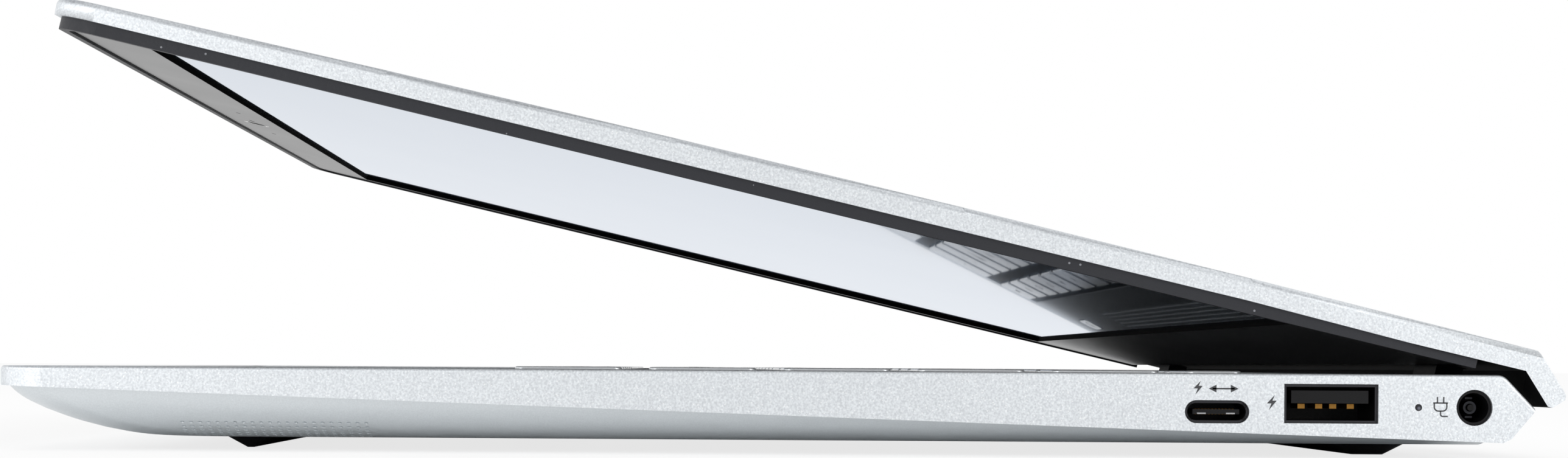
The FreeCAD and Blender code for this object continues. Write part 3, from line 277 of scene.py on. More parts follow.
# %% [markdown]
# The screen has a glossy printed border and a smooth sheet of glass in front of a dark panel. Seen from
# the side at such a low angle, both turn into mirrors. A clear coat over a dark, slightly smeared base
# gives the strong low-angle reflection and stays dark from the front.
# %% Screen border and glass
def glossy_print(name, colour, roughness):
    finish = Finish(name)
    haze = finish.noise(30 * MM)
    dust = finish.specks(size=0.12 * MM, spread=4 * MM, coverage=0.2)
    return finish.surface(
        Base_Color=finish.blend(0.4 * dust, tone(*colour), tone(120, 122, 126)),
        Roughness=roughness + 0.06 * haze, IOR=1.5)


def screen_glass(name):
    finish = Finish(name)
    smear = finish.noise(50 * MM, detail=3.0)
    return finish.surface(
        Base_Color=finish.blend(smear, tone(15, 16, 20), tone(20, 21, 26)),
        Roughness=0.03 + 0.03 * smear, IOR=1.15, Coat_Tint=(0.62, 0.78, 1.0, 1.0),
        Coat_Weight=0.92 - 0.06 * smear, Coat_Roughness=0.02, Coat_IOR=1.5)


bezel_gloss = glossy_print("bezel_gloss", (22, 22, 25), roughness=0.26)
lens_gloss = glossy_print("lens_gloss", (8, 8, 12), roughness=0.05)
display_glass = screen_glass("display_glass")
print("finishes:", bezel_gloss.name, lens_gloss.name, display_glass.name)

# %% [markdown]
# The other parts are of a few kinds: moulded plastic, plated and bare metals, circuit boards with a
# solder mask, and a wrapped battery. Each gets its own grain at its own scale. The metals are rolled or
# drawn, so their noise is stretched into fine strokes.
# %% Plastics, metals and boards
STROKES = (400, 6000, 6000)


def moulded_plastic(name, colour, roughness, ior=1.45):
    finish = Finish(name)
    grain = finish.noise(0.4 * MM)
    return finish.surface(
        Base_Color=finish.blend(grain, darker(colour, 0.88), tone(*colour)), IOR=ior,
        Roughness=roughness + 0.12 * grain, Normal=finish.bump(grain, 0.03 * MM, 0.5))


def plated_metal(name, colour, roughness):
    finish = Finish(name)
    stretched = finish.node("ShaderNodeMapping", {}, {"Vector": finish.place(), "Scale": STROKES})
    strokes = finish.node("ShaderNodeTexNoise", {}, {"Vector": stretched, "Scale": 1.0, "Detail": 2.0})
    body = finish.blend(strokes, darker(colour, 0.82), tone(*colour))
    return finish.surface(Base_Color=body, Metallic=1.0, Roughness=roughness + 0.14 * strokes)


def solder_mask(name):
    finish = Finish(name)
    tracks = finish.node("ShaderNodeTexBrick", {}, {
        "Vector": finish.place(), "Scale": 260.0, "Color1": tone(24, 62, 48), "Color2": tone(28, 72, 56),
        "Mortar": tone(44, 96, 74), "Mortar Size": 0.06})
    pads = finish.specks(size=0.4 * MM, spread=3.5 * MM, coverage=0.3)
    colour = finish.blend(pads, tracks, tone(196, 168, 96))
    return finish.surface(Base_Color=colour, Metallic=0.8 * pads, Roughness=0.45 - 0.15 * pads)


black_plastic = moulded_plastic("black_plastic", (16, 16, 18), roughness=0.55, ior=1.25)
border_black = moulded_plastic("border_black", (10, 10, 11), roughness=0.7, ior=1.08)
jack_black = moulded_plastic("jack_black", (14, 14, 16), roughness=0.40, ior=1.3)
jack_blue = moulded_plastic("jack_blue", (26, 29, 40), roughness=0.35, ior=1.4)
battery_wrap = moulded_plastic("battery_wrap", (38, 39, 44), roughness=0.55)
touch_surface = moulded_plastic("touch_surface", (196, 198, 201), roughness=0.34)
print_ink = moulded_plastic("print_ink", (66, 67, 70), roughness=0.55)
key_ink = moulded_plastic("key_ink", (74, 76, 80), roughness=0.55)
frame_grey = moulded_plastic("frame_grey", (46, 47, 50), roughness=0.5)
steel = plated_metal("steel", (188, 189, 192), roughness=0.26)
dark_steel = plated_metal("dark_steel", (66, 66, 69), roughness=0.32)
blackened_steel = plated_metal("blackened_steel", (20, 20, 22), roughness=0.5)
gold = plated_metal("gold", (172, 126, 62), roughness=0.30)
copper = plated_metal("copper", (202, 128, 92), roughness=0.28)
board_green = solder_mask("board_green")
print("finishes so far:", len(Finish.made))

# %% [markdown]
# A tiny window beside the power socket shows that the battery is charging. It is a smoky plug in a
# drilled hole: dark at its rim, with a dim spot where the light pipe ends. The spot is a distance, in
# the plane of the wall, from a point a little below the middle of the plug.
# %% Charge light
SPOT_SHIFT = Vector((0, 0.08, -0.10)) * MM
SPOT_CORE, SPOT_RIM = 0.12 * MM, 0.30 * MM
IN_WALL = Vector((0, 1, 1))


def middle_of(node):
    low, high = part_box(node)
    return (low + high) / 2


def lamp_window(name, node):
    finish = Finish(name)
    spot = (middle_of(node) + SPOT_SHIFT) * IN_WALL
    flat = finish.node("ShaderNodeMapping", {}, {"Vector": finish.place(), "Scale": IN_WALL})
    away = finish.node("ShaderNodeVectorMath", {"operation": "DISTANCE"}, {0: flat, 1: spot}, "Value")
    pale = finish.fade(away, SPOT_CORE, SPOT_RIM, 1.0, 0.0)
    return finish.surface(
        Base_Color=finish.blend(pale, tone(22, 23, 29), tone(92, 94, 104)), Roughness=0.2,
        Emission_Color=finish.blend(pale, BLACK, tone(150, 152, 158)), Emission_Strength=0.04)


light_window = lamp_window("light_window", "charge_light")
print("finish:", light_window.name)

# %% [markdown]
# Now the solids get their finishes. The record names a slot for each of them, and a table from slot to
# finish does most of the work; a second table names the single pieces that differ.
# %% Finishes on the solids
SLOT_FINISH = {
    "silver": silver, "key_silver": key_silver, "dark_rubber": lip_rubber, "black_gloss": bezel_gloss,
    "display_glass": display_glass, "black_plastic": black_plastic, "steel": steel,
    "circuit_board": board_green, "copper": copper, "battery_wrap": battery_wrap,
    "light_window": light_window, "touch_surface": touch_surface}
OWN_FINISH = {
    "front_foot": foot_rubber, "rear_foot": foot_rubber, "webcam_lens": lens_gloss,
    "bottom_cover": fine_silver, "keyboard_frame": frame_grey, "hinge_cover": border_black,
    "dc_jack": jack_black, "audio_jack": jack_black,
    "lid_hinge_bracket_left": blackened_steel, "lid_hinge_bracket_right": blackened_steel}
for name, solid in nodes.items():
    for slot in solid.material_slots:
        slot.material = OWN_FINISH.get(name) or SLOT_FINISH[slot.material.name.split(".")[0]]
print("dressed", len(nodes), "solids")

# %% [markdown]
# Some solids need finer work than CAD is good for: punched holes, or two finishes on one piece. A CAD
# mesh is loose triangles, so a working copy first has its doubles merged; then it is a closed skin that
# a boolean can cut. The solid's normals know its true curves, so they are laid back on the merged copy;
# only a piece that is cut afterwards gets new ones. The copy stands for the solid and rides on its
# part.
# %% Working copies
MERGE = 1e-7
SHARP_EDGE = math.radians(32)


def link(data, name):
    piece = bpy.data.objects.new(name, data)
    bpy.context.scene.collection.objects.link(piece)
    return piece


def smooth(mesh):
    for face in mesh.polygons:
        face.use_smooth = True
    mesh.set_sharp_from_angle(angle=SHARP_EDGE)


def merged_skin(mesh):
    skin = bmesh.new()
    skin.from_mesh(mesh)
    bmesh.ops.remove_doubles(skin, verts=skin.verts, dist=MERGE)
    return skin


def as_mesh(skin, name):
    mesh = bpy.data.meshes.new(name)
    skin.to_mesh(mesh)
    skin.free()
    return mesh


def forget_normals(mesh):
    if "custom_normal" in mesh.attributes:
        mesh.attributes.remove(mesh.attributes["custom_normal"])


def working_copy(node, name, *finishes):
    solid = nodes[node].data
    mesh = as_mesh(merged_skin(solid), name)
    forget_normals(mesh)
    facing = [tuple(corner.vector) for corner in solid.corner_normals]
    if len(facing) == len(mesh.loops):
        mesh.normals_split_custom_set(facing)
    for finish in finishes:
        mesh.materials.append(finish)
    return link(mesh, name)


print("working copies can be made of", len(nodes), "solids")

# %% [markdown]
# A boolean modifier cuts a working copy. It is settled into a plain mesh at once, because the export
# wants plain meshes, and the cutter is thrown away. A finished copy then stands for its solid: it rides
# on the same part.
# %% Cutting, and standing for a solid
def plain_mesh(piece):
    """What a piece with modifiers, or a text, looks like, as one mesh."""
    graph = bpy.context.evaluated_depsgraph_get()
    return bpy.data.meshes.new_from_object(piece.evaluated_get(graph), depsgraph=graph)


def settle(piece):
    mesh = plain_mesh(piece)
    piece.modifiers.clear()
    piece.data = mesh
    mesh.name = piece.name
    return piece


def cut_away(piece, cutter):
    forget_normals(piece.data)
    knife = piece.modifiers.new("cut", "BOOLEAN")
    knife.operation, knife.solver, knife.object = "DIFFERENCE", "MANIFOLD", cutter
    settle(piece)
    bpy.data.objects.remove(cutter)


def stand_in(piece, node, body):
    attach(piece, body)
    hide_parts(node)


# %% [markdown]
# Geometry Nodes use the same small language. A tree starts from named inputs, and it ends by making its
# copies real and dressing them in one finish. A modifier then runs the tree on a few points, or on
# none, and what comes out is kept as a plain mesh. The modifier knows its inputs by identifier, so
# names are looked up.
# %% Trees that make shapes
def shape_tree(title, inputs):
    group = bpy.data.node_groups.new(title, "GeometryNodeTree")
    group.interface.new_socket("Geometry", in_out="OUTPUT", socket_type="NodeSocketGeometry")
    for name, kind in inputs.items():
        group.interface.new_socket(name, in_out="INPUT", socket_type="NodeSocket" + kind)
    tree = Tree(group)
    return tree, tree.node("NodeGroupInput").out


def end_tree(tree, copies, finish):
    real = tree.node("GeometryNodeRealizeInstances", {}, {"Geometry": copies})
    dressed = tree.node("GeometryNodeSetMaterial", {}, {"Geometry": real, "Material": finish})
    tree.node("NodeGroupOutput", {}, {"Geometry": dressed})
    return tree.data


def grown(name, group, values, points=()):
    mesh = bpy.data.meshes.new(name)
    mesh.from_pydata(points, [], [])
    piece = link(mesh, name)
    maker = piece.modifiers.new("maker", "NODES")
    maker.node_group = group
    for socket in group.interface.items_tree:
        if socket.in_out == "INPUT" and socket.name in values:
            maker[socket.identifier] = values[socket.name]
    return settle(piece)


print("trees before the first shape:", len(bpy.data.node_groups))

# %% [markdown]
# Holes and contacts repeat, so one tree makes them: a grid of points, one small tapered pin on each
# point, and one turn and one move for the whole field. Sizes are named inputs, so the same tree punches
# the speaker holes, punches the grille and lays the rows of contacts. A pin's sides are pushed out so
# that its width is measured across its flats.
# %% A field of repeated shapes
def field_tree():
    tree, given = shape_tree("repeated_field", {
        "Across": "Int", "Along": "Int", "Pitch across": "Float", "Pitch along": "Float",
        "Width": "Float", "Length": "Float", "Depth": "Float", "Sides": "Int", "Taper": "Float",
        "Turn": "Vector", "Place": "Vector", "Finish": "Material"})
    points = tree.node("GeometryNodeMeshGrid", {}, {
        "Size X": (given("Across") - 1.0) * given("Pitch across"), "Vertices X": given("Across"),
        "Size Y": (given("Along") - 1.0) * given("Pitch along"), "Vertices Y": given("Along")})
    half_side = math.pi / given("Sides")
    reach = 0.5 / tree.maths("COSINE", half_side)
    cone = tree.node("GeometryNodeMeshCone", {}, {
        "Vertices": given("Sides"), "Radius Top": reach * given("Taper"), "Radius Bottom": reach,
        "Depth": 1.0})
    flats_square = tree.node("ShaderNodeCombineXYZ", {}, {"Z": half_side})
    pin = tree.node("GeometryNodeTransform", {}, {
        "Geometry": cone, "Translation": (0, 0, -0.5), "Rotation": flats_square})
    size = tree.node("ShaderNodeCombineXYZ", {}, {
        "X": given("Width"), "Y": given("Length"), "Z": given("Depth")})
    pins = tree.node("GeometryNodeInstanceOnPoints", {}, {"Points": points, "Instance": pin, "Scale": size})
    placed = tree.node("GeometryNodeTransform", {}, {
        "Geometry": pins, "Translation": given("Place"), "Rotation": given("Turn")})
    return end_tree(tree, placed, given("Finish"))


FIELD = field_tree()


def field(name, count, pitch, size, place, finish, sides=4, turn=(0, 0, 0), taper=1.0):
    """Pitch and size in millimetres, the turn in degrees."""
    return grown(name, FIELD, {
        "Across": count[0], "Along": count[1], "Pitch across": pitch[0] * MM, "Pitch along": pitch[1] * MM,
        "Width": size[0] * MM, "Length": size[1] * MM, "Depth": size[2] * MM, "Sides": sides,
        "Taper": taper, "Turn": [math.radians(angle) for angle in turn], "Place": place, "Finish": finish})


print("field tree:", len(FIELD.nodes), "nodes")

# %% [markdown]
# Small parts are cut from sheet or moulded, so an outline pushed through a depth makes most of them. An
# outline is drawn in millimetres as it looks from outside, and a plane says where it lies: on the right
# wall, on the left wall or on the deck. Each plate and tube is closed, with its faces outwards.
# %% Plates and tubes
def right_wall(across, up, out):
    return at(out, across, up)


def left_wall(across, up, out):
    return at(-out, -across, up)


def deck(across, up, out):
    return at(across, up, out)


def circle(across, up, radius, sides=24):
    turns = [math.tau * step / sides for step in range(sides)]
    return [(across + radius * math.cos(turn), up + radius * math.sin(turn)) for turn in turns]


def oblong(across, up, wide, tall):
    return [(across + i * wide / 2, up + j * tall / 2) for i, j in ((-1, -1), (1, -1), (1, 1), (-1, 1))]


def skirt(skin, low, high):
    for index in range(len(low)):
        after = (index + 1) % len(low)
        skin.faces.new((low[index], low[after], high[after], high[index]))


def plate(skin, outline, low, high, plane):
    rings = [[skin.verts.new(plane(a, b, depth)) for a, b in outline] for depth in (low, high)]
    skin.faces.new(rings[0][::-1])
    skin.faces.new(rings[1])
    skirt(skin, *rings)


def tube(skin, outer, inner, low, high, plane):
    edges = [[skin.verts.new(plane(a, b, depth)) for a, b in line]
             for line, depth in ((outer, low), (outer, high), (inner, high), (inner, low))]
    for index in range(4):
        skirt(skin, edges[index], edges[(index + 1) % 4])


def finished(name, skin, finish, body):
    mesh = as_mesh(skin, name)
    mesh.materials.append(finish)
    smooth(mesh)
    piece = link(mesh, name)
    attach(piece, body)
    return piece


print("planes for small parts:", right_wall.__name__, left_wall.__name__, deck.__name__)

# %% [markdown]
# The speakers fire down and out through small holes in the curve of the lower cover, on both sides. On
# the real cover they are punched before it is anodised, and flare a little at the mouth, which catches
# light. Here a tilted field of short tapered pins cuts them, so each hole has a wall and goes through,
# and the pattern foreshortens round the curve as it should.
# %% Speaker holes in the lower cover
HOLE_ROWS, HOLE_COLUMNS = 6, 22
HOLE_PITCH = (1.42, 1.248)
HOLE_MOUTH, HOLE_DEPTH, HOLE_TAPER = 1.1, 2.4, 0.24
HOLE_SIDES = 8
HOLE_TILT = 18.5
HOLES_INSET, HOLES_Y, HOLES_Z = 8.0, 39.4, -9.2
lower_cover = working_copy("bottom_cover", "lower_cover", fine_silver)
for side in (1, -1):
    centre = at(side * (HALF - HOLES_INSET), HOLES_Y, HOLES_Z)
    pins = field("holes", (HOLE_ROWS, HOLE_COLUMNS), HOLE_PITCH, (HOLE_MOUTH, HOLE_MOUTH, HOLE_DEPTH),
                 centre, fine_silver, HOLE_SIDES, turn=(0, -HOLE_TILT * side, 0), taper=HOLE_TAPER)
    cut_away(lower_cover, pins)
smooth(lower_cover.data)
stand_in(lower_cover, "bottom_cover", "base")
print("speaker holes:", 2 * HOLE_ROWS * HOLE_COLUMNS, "faces:", len(lower_cover.data.polygons))

# %% [markdown]
# Behind the keyboard a plate with several hundred fine holes lets sound and air through the deck. A
# drill would take hours for them; a press punches a whole row at once. The same field of pins cuts them
# here, in as many rows and columns as fit between the plate's margins.
# %% Perforated plate behind the keyboard
PUNCH_PITCH, PUNCH_WIDTH, PUNCH_DEPTH = 1.5, 0.78, 3.0
GRILLE_MARGINS = Vector((3.0, 2.0, 0.0))
grille_low, grille_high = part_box("speaker_grille")
room_for_holes = (grille_high - grille_low) / MM - GRILLE_MARGINS
PUNCH_COLUMNS, PUNCH_ROWS = int(room_for_holes.x / PUNCH_PITCH), int(room_for_holes.y / PUNCH_PITCH)
punched_plate = working_copy("speaker_grille", "punched_plate", silver)
punches = field("punches", (PUNCH_COLUMNS, PUNCH_ROWS), (PUNCH_PITCH, PUNCH_PITCH),
                (PUNCH_WIDTH, PUNCH_WIDTH, PUNCH_DEPTH), middle_of("speaker_grille"), silver, HOLE_SIDES)
cut_away(punched_plate, punches)
smooth(punched_plate.data)
stand_in(punched_plate, "speaker_grille", "base")
print("punched holes:", PUNCH_ROWS * PUNCH_COLUMNS, "faces:", len(punched_plate.data.polygons))

# %% [markdown]
# A socket is a folded metal shell round a black tongue that carries the contacts. The solid already has
# the shell and the tongue as one piece, so a copy of it gets two finishes, told apart by place: the
# tongue and the back of the mouth are black, and the shell, inside and out, is dark plated steel.
# %% Socket shells
SHELL = 0.34 * MM


def socket_shell(node, name):
    piece = working_copy(node, name, dark_steel, jack_black)
    low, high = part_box(node)
    middle, reach = (low + high) / 2, (high - low) / 2
    for face in piece.data.polygons:
        away = face.center - middle
        face.material_index = int(reach.y - abs(away.y) > SHELL and reach.z - abs(away.z) > SHELL)
    stand_in(piece, node, "base")
    return middle


socket_middle = {}
for side in ("left", "right"):
    for kind in ("usb_a", "usb_c"):
        port = kind + "_port_" + side
        socket_middle[kind, side] = socket_shell(port, port.replace("_port", "_shell"))
socket_middle["card", "left"] = socket_shell("card_slot", "card_shell")
print("socket shells:", len(socket_middle))

# %% [markdown]
# The wide socket has four flat contacts under its tongue, the outer two further apart. They are stamped
# from sheet bronze and plated with gold, and only their ends show. The small oval one has a row of
# twelve on each side of its tongue and a steel plate in the middle, whose ends catch the light.
# %% Contacts
CONTACT_SIZE, CONTACT_DEPTH, CONTACT_DROP = (5.0, 1.0, 0.66), 3.6, 0.40
PAIR_PITCHES = (7.0, 2.0)
COMB_SIZE, COMB_INSET = (3.6, 0.26, 0.78), 4.2
COMB_COUNT, COMB_PITCH = 12, 0.48
SHIELD_SIZE, SHIELD_SHIFT, SHIELD_DROP = (1.25, 0.2), 2.05, 0.24
SHIELD_BACK, SHIELD_FRONT = HALF - 3.0, HALF - 0.96
WALLS = (("right", 1, right_wall), ("left", -1, left_wall))


def build_place(point):
    """The reverse of at(): millimetres from the front lip and from the deck."""
    return (point.y - FRONT) / MM, (point.z - DECK) / MM


def absorb(skin, piece):
    skin.from_mesh(piece.data)
    bpy.data.objects.remove(piece)


for side, sign, wall in WALLS:
    y, z = build_place(socket_middle["usb_a", side])
    place = at(sign * (HALF - CONTACT_DEPTH - CONTACT_SIZE[0] / 2), y, z - CONTACT_DROP)
    contacts = bmesh.new()
    for pitch in PAIR_PITCHES:
        absorb(contacts, field("pair", (1, 2), (0.0, pitch), CONTACT_SIZE, place, gold))
    finished("usb_a_contacts_" + side, contacts, gold, "base")

    y, z = build_place(socket_middle["usb_c", side])
    place = at(sign * (HALF - COMB_INSET), y, z)
    rows = bmesh.new()
    absorb(rows, field("comb", (1, COMB_COUNT), (0.0, COMB_PITCH), COMB_SIZE, place, gold))
    finished("usb_c_contacts_" + side, rows, gold, "base")
    shields = bmesh.new()
    for shift in (-SHIELD_SHIFT, SHIELD_SHIFT):
        outline = oblong(sign * y + shift, z - SHIELD_DROP, *SHIELD_SIZE)
        plate(shields, outline, SHIELD_BACK, SHIELD_FRONT, wall)
    finished("usb_c_shields_" + side, shields, steel, "base")
print("contacts laid in", 2 * len(WALLS), "sockets")

# %% [markdown]
# The power socket has a hollow centre pin in a deep black bore, with a spring above and below it. The
# sound socket on the other side has a plain bore with a sprung contact ring at the back.
# %% Round sockets
PIN_OUTER, PIN_INNER = 0.92, 0.58
PIN_BACK, PIN_FRONT = HALF - 10.0, HALF - 2.6
SPRING_SIZE, SPRING_SHIFT, SPRING_FRONT = (1.0, 0.28), 1.34, HALF - 3.2
AUDIO_RING_OUTER, AUDIO_RING_INNER = 1.78, 1.5
AUDIO_RING_BACK, AUDIO_RING_FRONT = HALF - 4.0, HALF - 2.2
dc_y, dc_z = build_place(middle_of("dc_jack"))
pin = bmesh.new()
tube(pin, circle(dc_y, dc_z, PIN_OUTER), circle(dc_y, dc_z, PIN_INNER), PIN_BACK, PIN_FRONT, right_wall)
for shift in (-SPRING_SHIFT, SPRING_SHIFT):
    plate(pin, oblong(dc_y, dc_z + shift, *SPRING_SIZE), PIN_BACK, SPRING_FRONT, right_wall)
finished("dc_centre_pin", pin, jack_blue, "base")

audio_y, audio_z = build_place(middle_of("audio_jack"))
ring = bmesh.new()
tube(ring, circle(-audio_y, audio_z, AUDIO_RING_OUTER), circle(-audio_y, audio_z, AUDIO_RING_INNER),
     AUDIO_RING_BACK, AUDIO_RING_FRONT, left_wall)
finished("audio_contact_ring", ring, gold, "base")
print("power socket at", round(dc_y, 1), "mm, sound socket at", round(audio_y, 1), "mm")

# %% [markdown]
# Beside the sockets small marks are printed in grey: a flash where a socket also charges, an arrow with
# two ends where it carries data, and a plug beside the power socket. They are pad-printed, so each is a
# film of ink that stands a hundredth of a millimetre proud. Each mark is a list of outlines, drawn as
# shares of its height or length; a line of even width follows a few points.
# %% Shapes of the printed marks
INK = 0.012
MARK_LINE, ARROW_LINE = 0.2, 0.22
PLUG_LIP = 0.15
CORNER_STEPS = 5


def stroke(points, width):
    """The outline of a line of even width that follows some points."""
    points = [Vector(point) for point in points]
    left, right = [], []
    for index, point in enumerate(points):
        ahead = (points[min(index + 1, len(points) - 1)] - points[max(index - 1, 0)]).normalized()
        aside = Vector((-ahead.y, ahead.x)) * width / 2
        left.append(point + aside)
        right.append(point - aside)
    return right + left[::-1]


def flash(across, up, tall):
    wide = tall * 0.66
    shape = ((0.30, 0.50), (-0.50, -0.06), (-0.04, -0.06), (-0.30, -0.50), (0.50, 0.13), (0.06, 0.13))
    return [[(across + a * wide, up + b * tall) for a, b in shape]]


def two_way_arrow(across, up, length):
    half, head = length / 2, length * 0.13
    parts = [oblong(across, up, length - 2 * head, ARROW_LINE)]
    for end in (-1, 1):
        tip, back = across + end * half, across + end * (half - 2 * head)
        parts.append([(tip, up), (back, up + end * head), (back, up - end * head)])
    return parts


def corner(across, up, size):
    """A quarter circle that comes down beside a corner and leaves it level, to the right."""
    turns = [math.pi / 2 * step / CORNER_STEPS for step in range(CORNER_STEPS + 1)]
    return [(across + size * (1 - math.cos(turn)), up + size * (1 - math.sin(turn))) for turn in turns]


def plug_mark(across, up, tall):
    half, top = tall * 0.31, up + tall * 0.20
    base, foot = top - tall * 0.40, up - tall * 0.46
    left = corner(across - half, base, tall * 0.20)
    right = [(2 * across - a, b) for a, b in left[::-1]]
    body = [(across - half, top)] + left + right + [(across + half, top)]
    tail = [(across, base)] + corner(across, foot, tall * 0.10) + [(across + tall * 0.36, foot)]
    rim = oblong(across, top, 2 * (half + PLUG_LIP), MARK_LINE)
    parts = [stroke(body, MARK_LINE), stroke(tail, MARK_LINE), rim]
    for shift in (-0.5, 0.5):
        parts.append(oblong(across + shift * half, top + tall * 0.15, MARK_LINE, tall * 0.30))
    return parts


def printed(name, parts, plane, height=HALF, body="base", ink=print_ink):
    film = bmesh.new()
    for outline in parts:
        plate(film, outline, height - INK, height + INK, plane)
    return finished(name, film, ink, body)


print("outlines in a plug mark:", len(plug_mark(0.0, 0.0, 1.0)))

# %% [markdown]
# The marks stand beside and above their sockets. Both walls have the same two data sockets, so one loop
# prints them, and the right wall also has the plug.
# %% Printed marks
SMALL_FLASH, SMALL_FLASH_SHIFT, SMALL_FLASH_UP = 2.0, -2.7, 3.39
ARROW_LENGTH, ARROW_SHIFT, ARROW_UP = 4.2, 0.9, 3.27
LARGE_FLASH, LARGE_FLASH_SHIFT, LARGE_FLASH_UP = 2.15, -8.4, 0.12
PLUG_TALL, PLUG_SHIFT, PLUG_UP = 2.85, -4.8, 0.08
usb_c_y, usb_c_z = build_place(socket_middle["usb_c", "right"])
usb_a_y, usb_a_z = build_place(socket_middle["usb_a", "right"])
for side, sign, wall in WALLS:
    marks = flash(sign * usb_c_y + SMALL_FLASH_SHIFT, usb_c_z + SMALL_FLASH_UP, SMALL_FLASH)
    marks += two_way_arrow(sign * usb_c_y + ARROW_SHIFT, usb_c_z + ARROW_UP, ARROW_LENGTH)
    marks += flash(sign * (usb_a_y + LARGE_FLASH_SHIFT), usb_a_z + LARGE_FLASH_UP, LARGE_FLASH)
    if wall is right_wall:
        marks += plug_mark(dc_y + PLUG_SHIFT, dc_z + PLUG_UP, PLUG_TALL)
    printed(side + "_marks", marks, wall)
    print("printed outlines on the", side, "wall:", len(marks))

# %% [markdown]
# The screws of the lower cover have a six-lobed recess. A second small tree puts one cutter on every
# point of a mesh, and the points are the middles of the screw heads, found from the solid's own loose
# parts.
# %% Tree with one shape on each point
def points_tree():
    tree, given = shape_tree("one_on_each_point", {
        "Geometry": "Geometry", "Stub": "Object", "Finish": "Material"})
    stub = tree.node("GeometryNodeObjectInfo", {}, {"Object": given("Stub")}, "Geometry")
    copies = tree.node("GeometryNodeInstanceOnPoints", {}, {"Points": given("Geometry"), "Instance": stub})
    return end_tree(tree, copies, given("Finish"))


ON_POINTS = points_tree()


def loose_parts(node):
    """The lowest and highest corners of each loose part of a solid."""
    skin = merged_skin(nodes[node].data)
    seen, boxes = set(), []
    for start in skin.verts:
        if start in seen:
            continue
        seen.add(start)
        part, front = [start], [start]
        while front:
            for edge in front.pop().link_edges:
                for vert in edge.verts:
                    if vert not in seen:
                        seen.add(vert)
                        part.append(vert)
                        front.append(vert)
        low = Vector([min(vert.co[axis] for vert in part) for axis in range(3)])
        high = Vector([max(vert.co[axis] for vert in part) for axis in range(3)])
        boxes.append((low, high))
    skin.free()
    return boxes


print("points tree:", len(ON_POINTS.nodes), "nodes")

# %% [markdown]
# The cutter is a short bar whose radius swells and shrinks six times in a turn. It starts a little
# below the head, so the cut is open, and it ends a third of a millimetre up in the head.
# %% Screw recesses
RECESS_RADIUS, RECESS_WAVE, RECESS_LOBES, RECESS_STEPS = 0.85, 0.14, 6, 36
RECESS_START, RECESS_END = -0.3, 0.35


def lobed_stub():
    outline = []
    for step in range(RECESS_STEPS):
        turn = math.tau * step / RECESS_STEPS
        radius = (RECESS_RADIUS + RECESS_WAVE * math.cos(RECESS_LOBES * turn)) * MM
        outline.append((radius * math.cos(turn), radius * math.sin(turn)))
    skin = bmesh.new()
    plate(skin, outline, RECESS_START * MM, RECESS_END * MM, lambda a, b, depth: Vector((a, b, depth)))
    return link(as_mesh(skin, "lobed_stub"), "lobed_stub")


screws = working_copy("cover_screws", "lobed_screws", steel)
heads = [((low.x + high.x) / 2, (low.y + high.y) / 2, low.z) for low, high in loose_parts("cover_screws")]
stub = lobed_stub()
cut_away(screws, grown("recesses", ON_POINTS, {"Stub": stub, "Finish": steel}, heads))
bpy.data.objects.remove(stub)
smooth(screws.data)
stand_in(screws, "cover_screws", "base")
print("screws with a recess:", len(heads))

# %% [markdown]
# The keys carry plain legends, printed in grey. Words become text curves, then thin closed meshes; each
# row of keys moves on its own, so each row has one mesh of legends that rides on it. The keys of a row
# are the loose parts of its solid, taken from left to right. A dot in the list stands for a key without
# a legend.
# %% Key legends
LETTER, WORD, PAIR = 3.8, 2.9, 3.0
LINE_SPACE = 0.85
LETTER_MERGE = 1e-8
ROW_LEGENDS = {
    "function_row_keys": "esc f1 f2 f3 f4 f5 f6 f7 f8 f9 f10 f11 f12 prt del",
    "number_row_keys": "~` !1 @2 #3 $4 %5 ^6 &7 *8 (9 )0 _- += home",
    "upper_row_keys": "tab Q W E R T Y U I O P {[ }] |\\ pgup",
    "home_row_keys": "caps A S D F G H J K L :; \"' pgdn",
    "lower_row_keys": "Z X C V B N M <, >. ?/ end",
    "bottom_row_keys": "ctrl fn . alt alt ctrl",
    "enter_key": "enter", "backspace_key": "back", "left_shift_key": "shift", "right_shift_key": "shift"}


def lettering(text, size):
    curve = bpy.data.curves.new("legend", "FONT")
    curve.body, curve.size = text, size * MM
    curve.align_x, curve.align_y = "CENTER", "CENTER"
    curve.extrude, curve.resolution_u, curve.space_line = INK * MM, 2, LINE_SPACE
    holder = link(curve, "legend")
    mesh = plain_mesh(holder)
    bpy.data.objects.remove(holder)
    bpy.data.curves.remove(curve)
    return mesh


def legend(word):
    """Two signs stand one above the other; a letter is larger than a word."""
    if len(word) == 2 and not word.isalnum():
        return lettering("\n".join(word), PAIR)
    return lettering(word, LETTER if len(word) == 1 else WORD)


legend_count = 0
for row, words in ROW_LEGENDS.items():
    keys = sorted(loose_parts(row), key=lambda corners: corners[0].x)
    film = bmesh.new()
    for (low, high), word in zip(keys, words.split()):
        if word == ".":
            continue
        mesh = legend(word)
        mesh.transform(Matrix.Translation(((low.x + high.x) / 2, (low.y + high.y) / 2, high.z)))
        film.from_mesh(mesh)
        bpy.data.meshes.remove(mesh)
        legend_count += 1
    bmesh.ops.remove_doubles(film, verts=film.verts, dist=LETTER_MERGE)
    finished(row + "_legends", film, key_ink, row)
print("legends:", legend_count)

# %% [markdown]
# The arrow keys and the power button have signs instead of words: triangles, and a broken ring with a
# bar. Which way a triangle points follows from where its key lies among the four.
# %% Signs on keys
TRIANGLE_SIZE = 1.15
SIDE_KEY_SHIFT = 5 * MM
SIGN_RING, SIGN_LINE, SIGN_BAR, SIGN_BAR_UP = 1.2, 0.26, 1.3, 0.95
SIGN_START, SIGN_SWEEP, SIGN_STEPS = 130, 280, 20


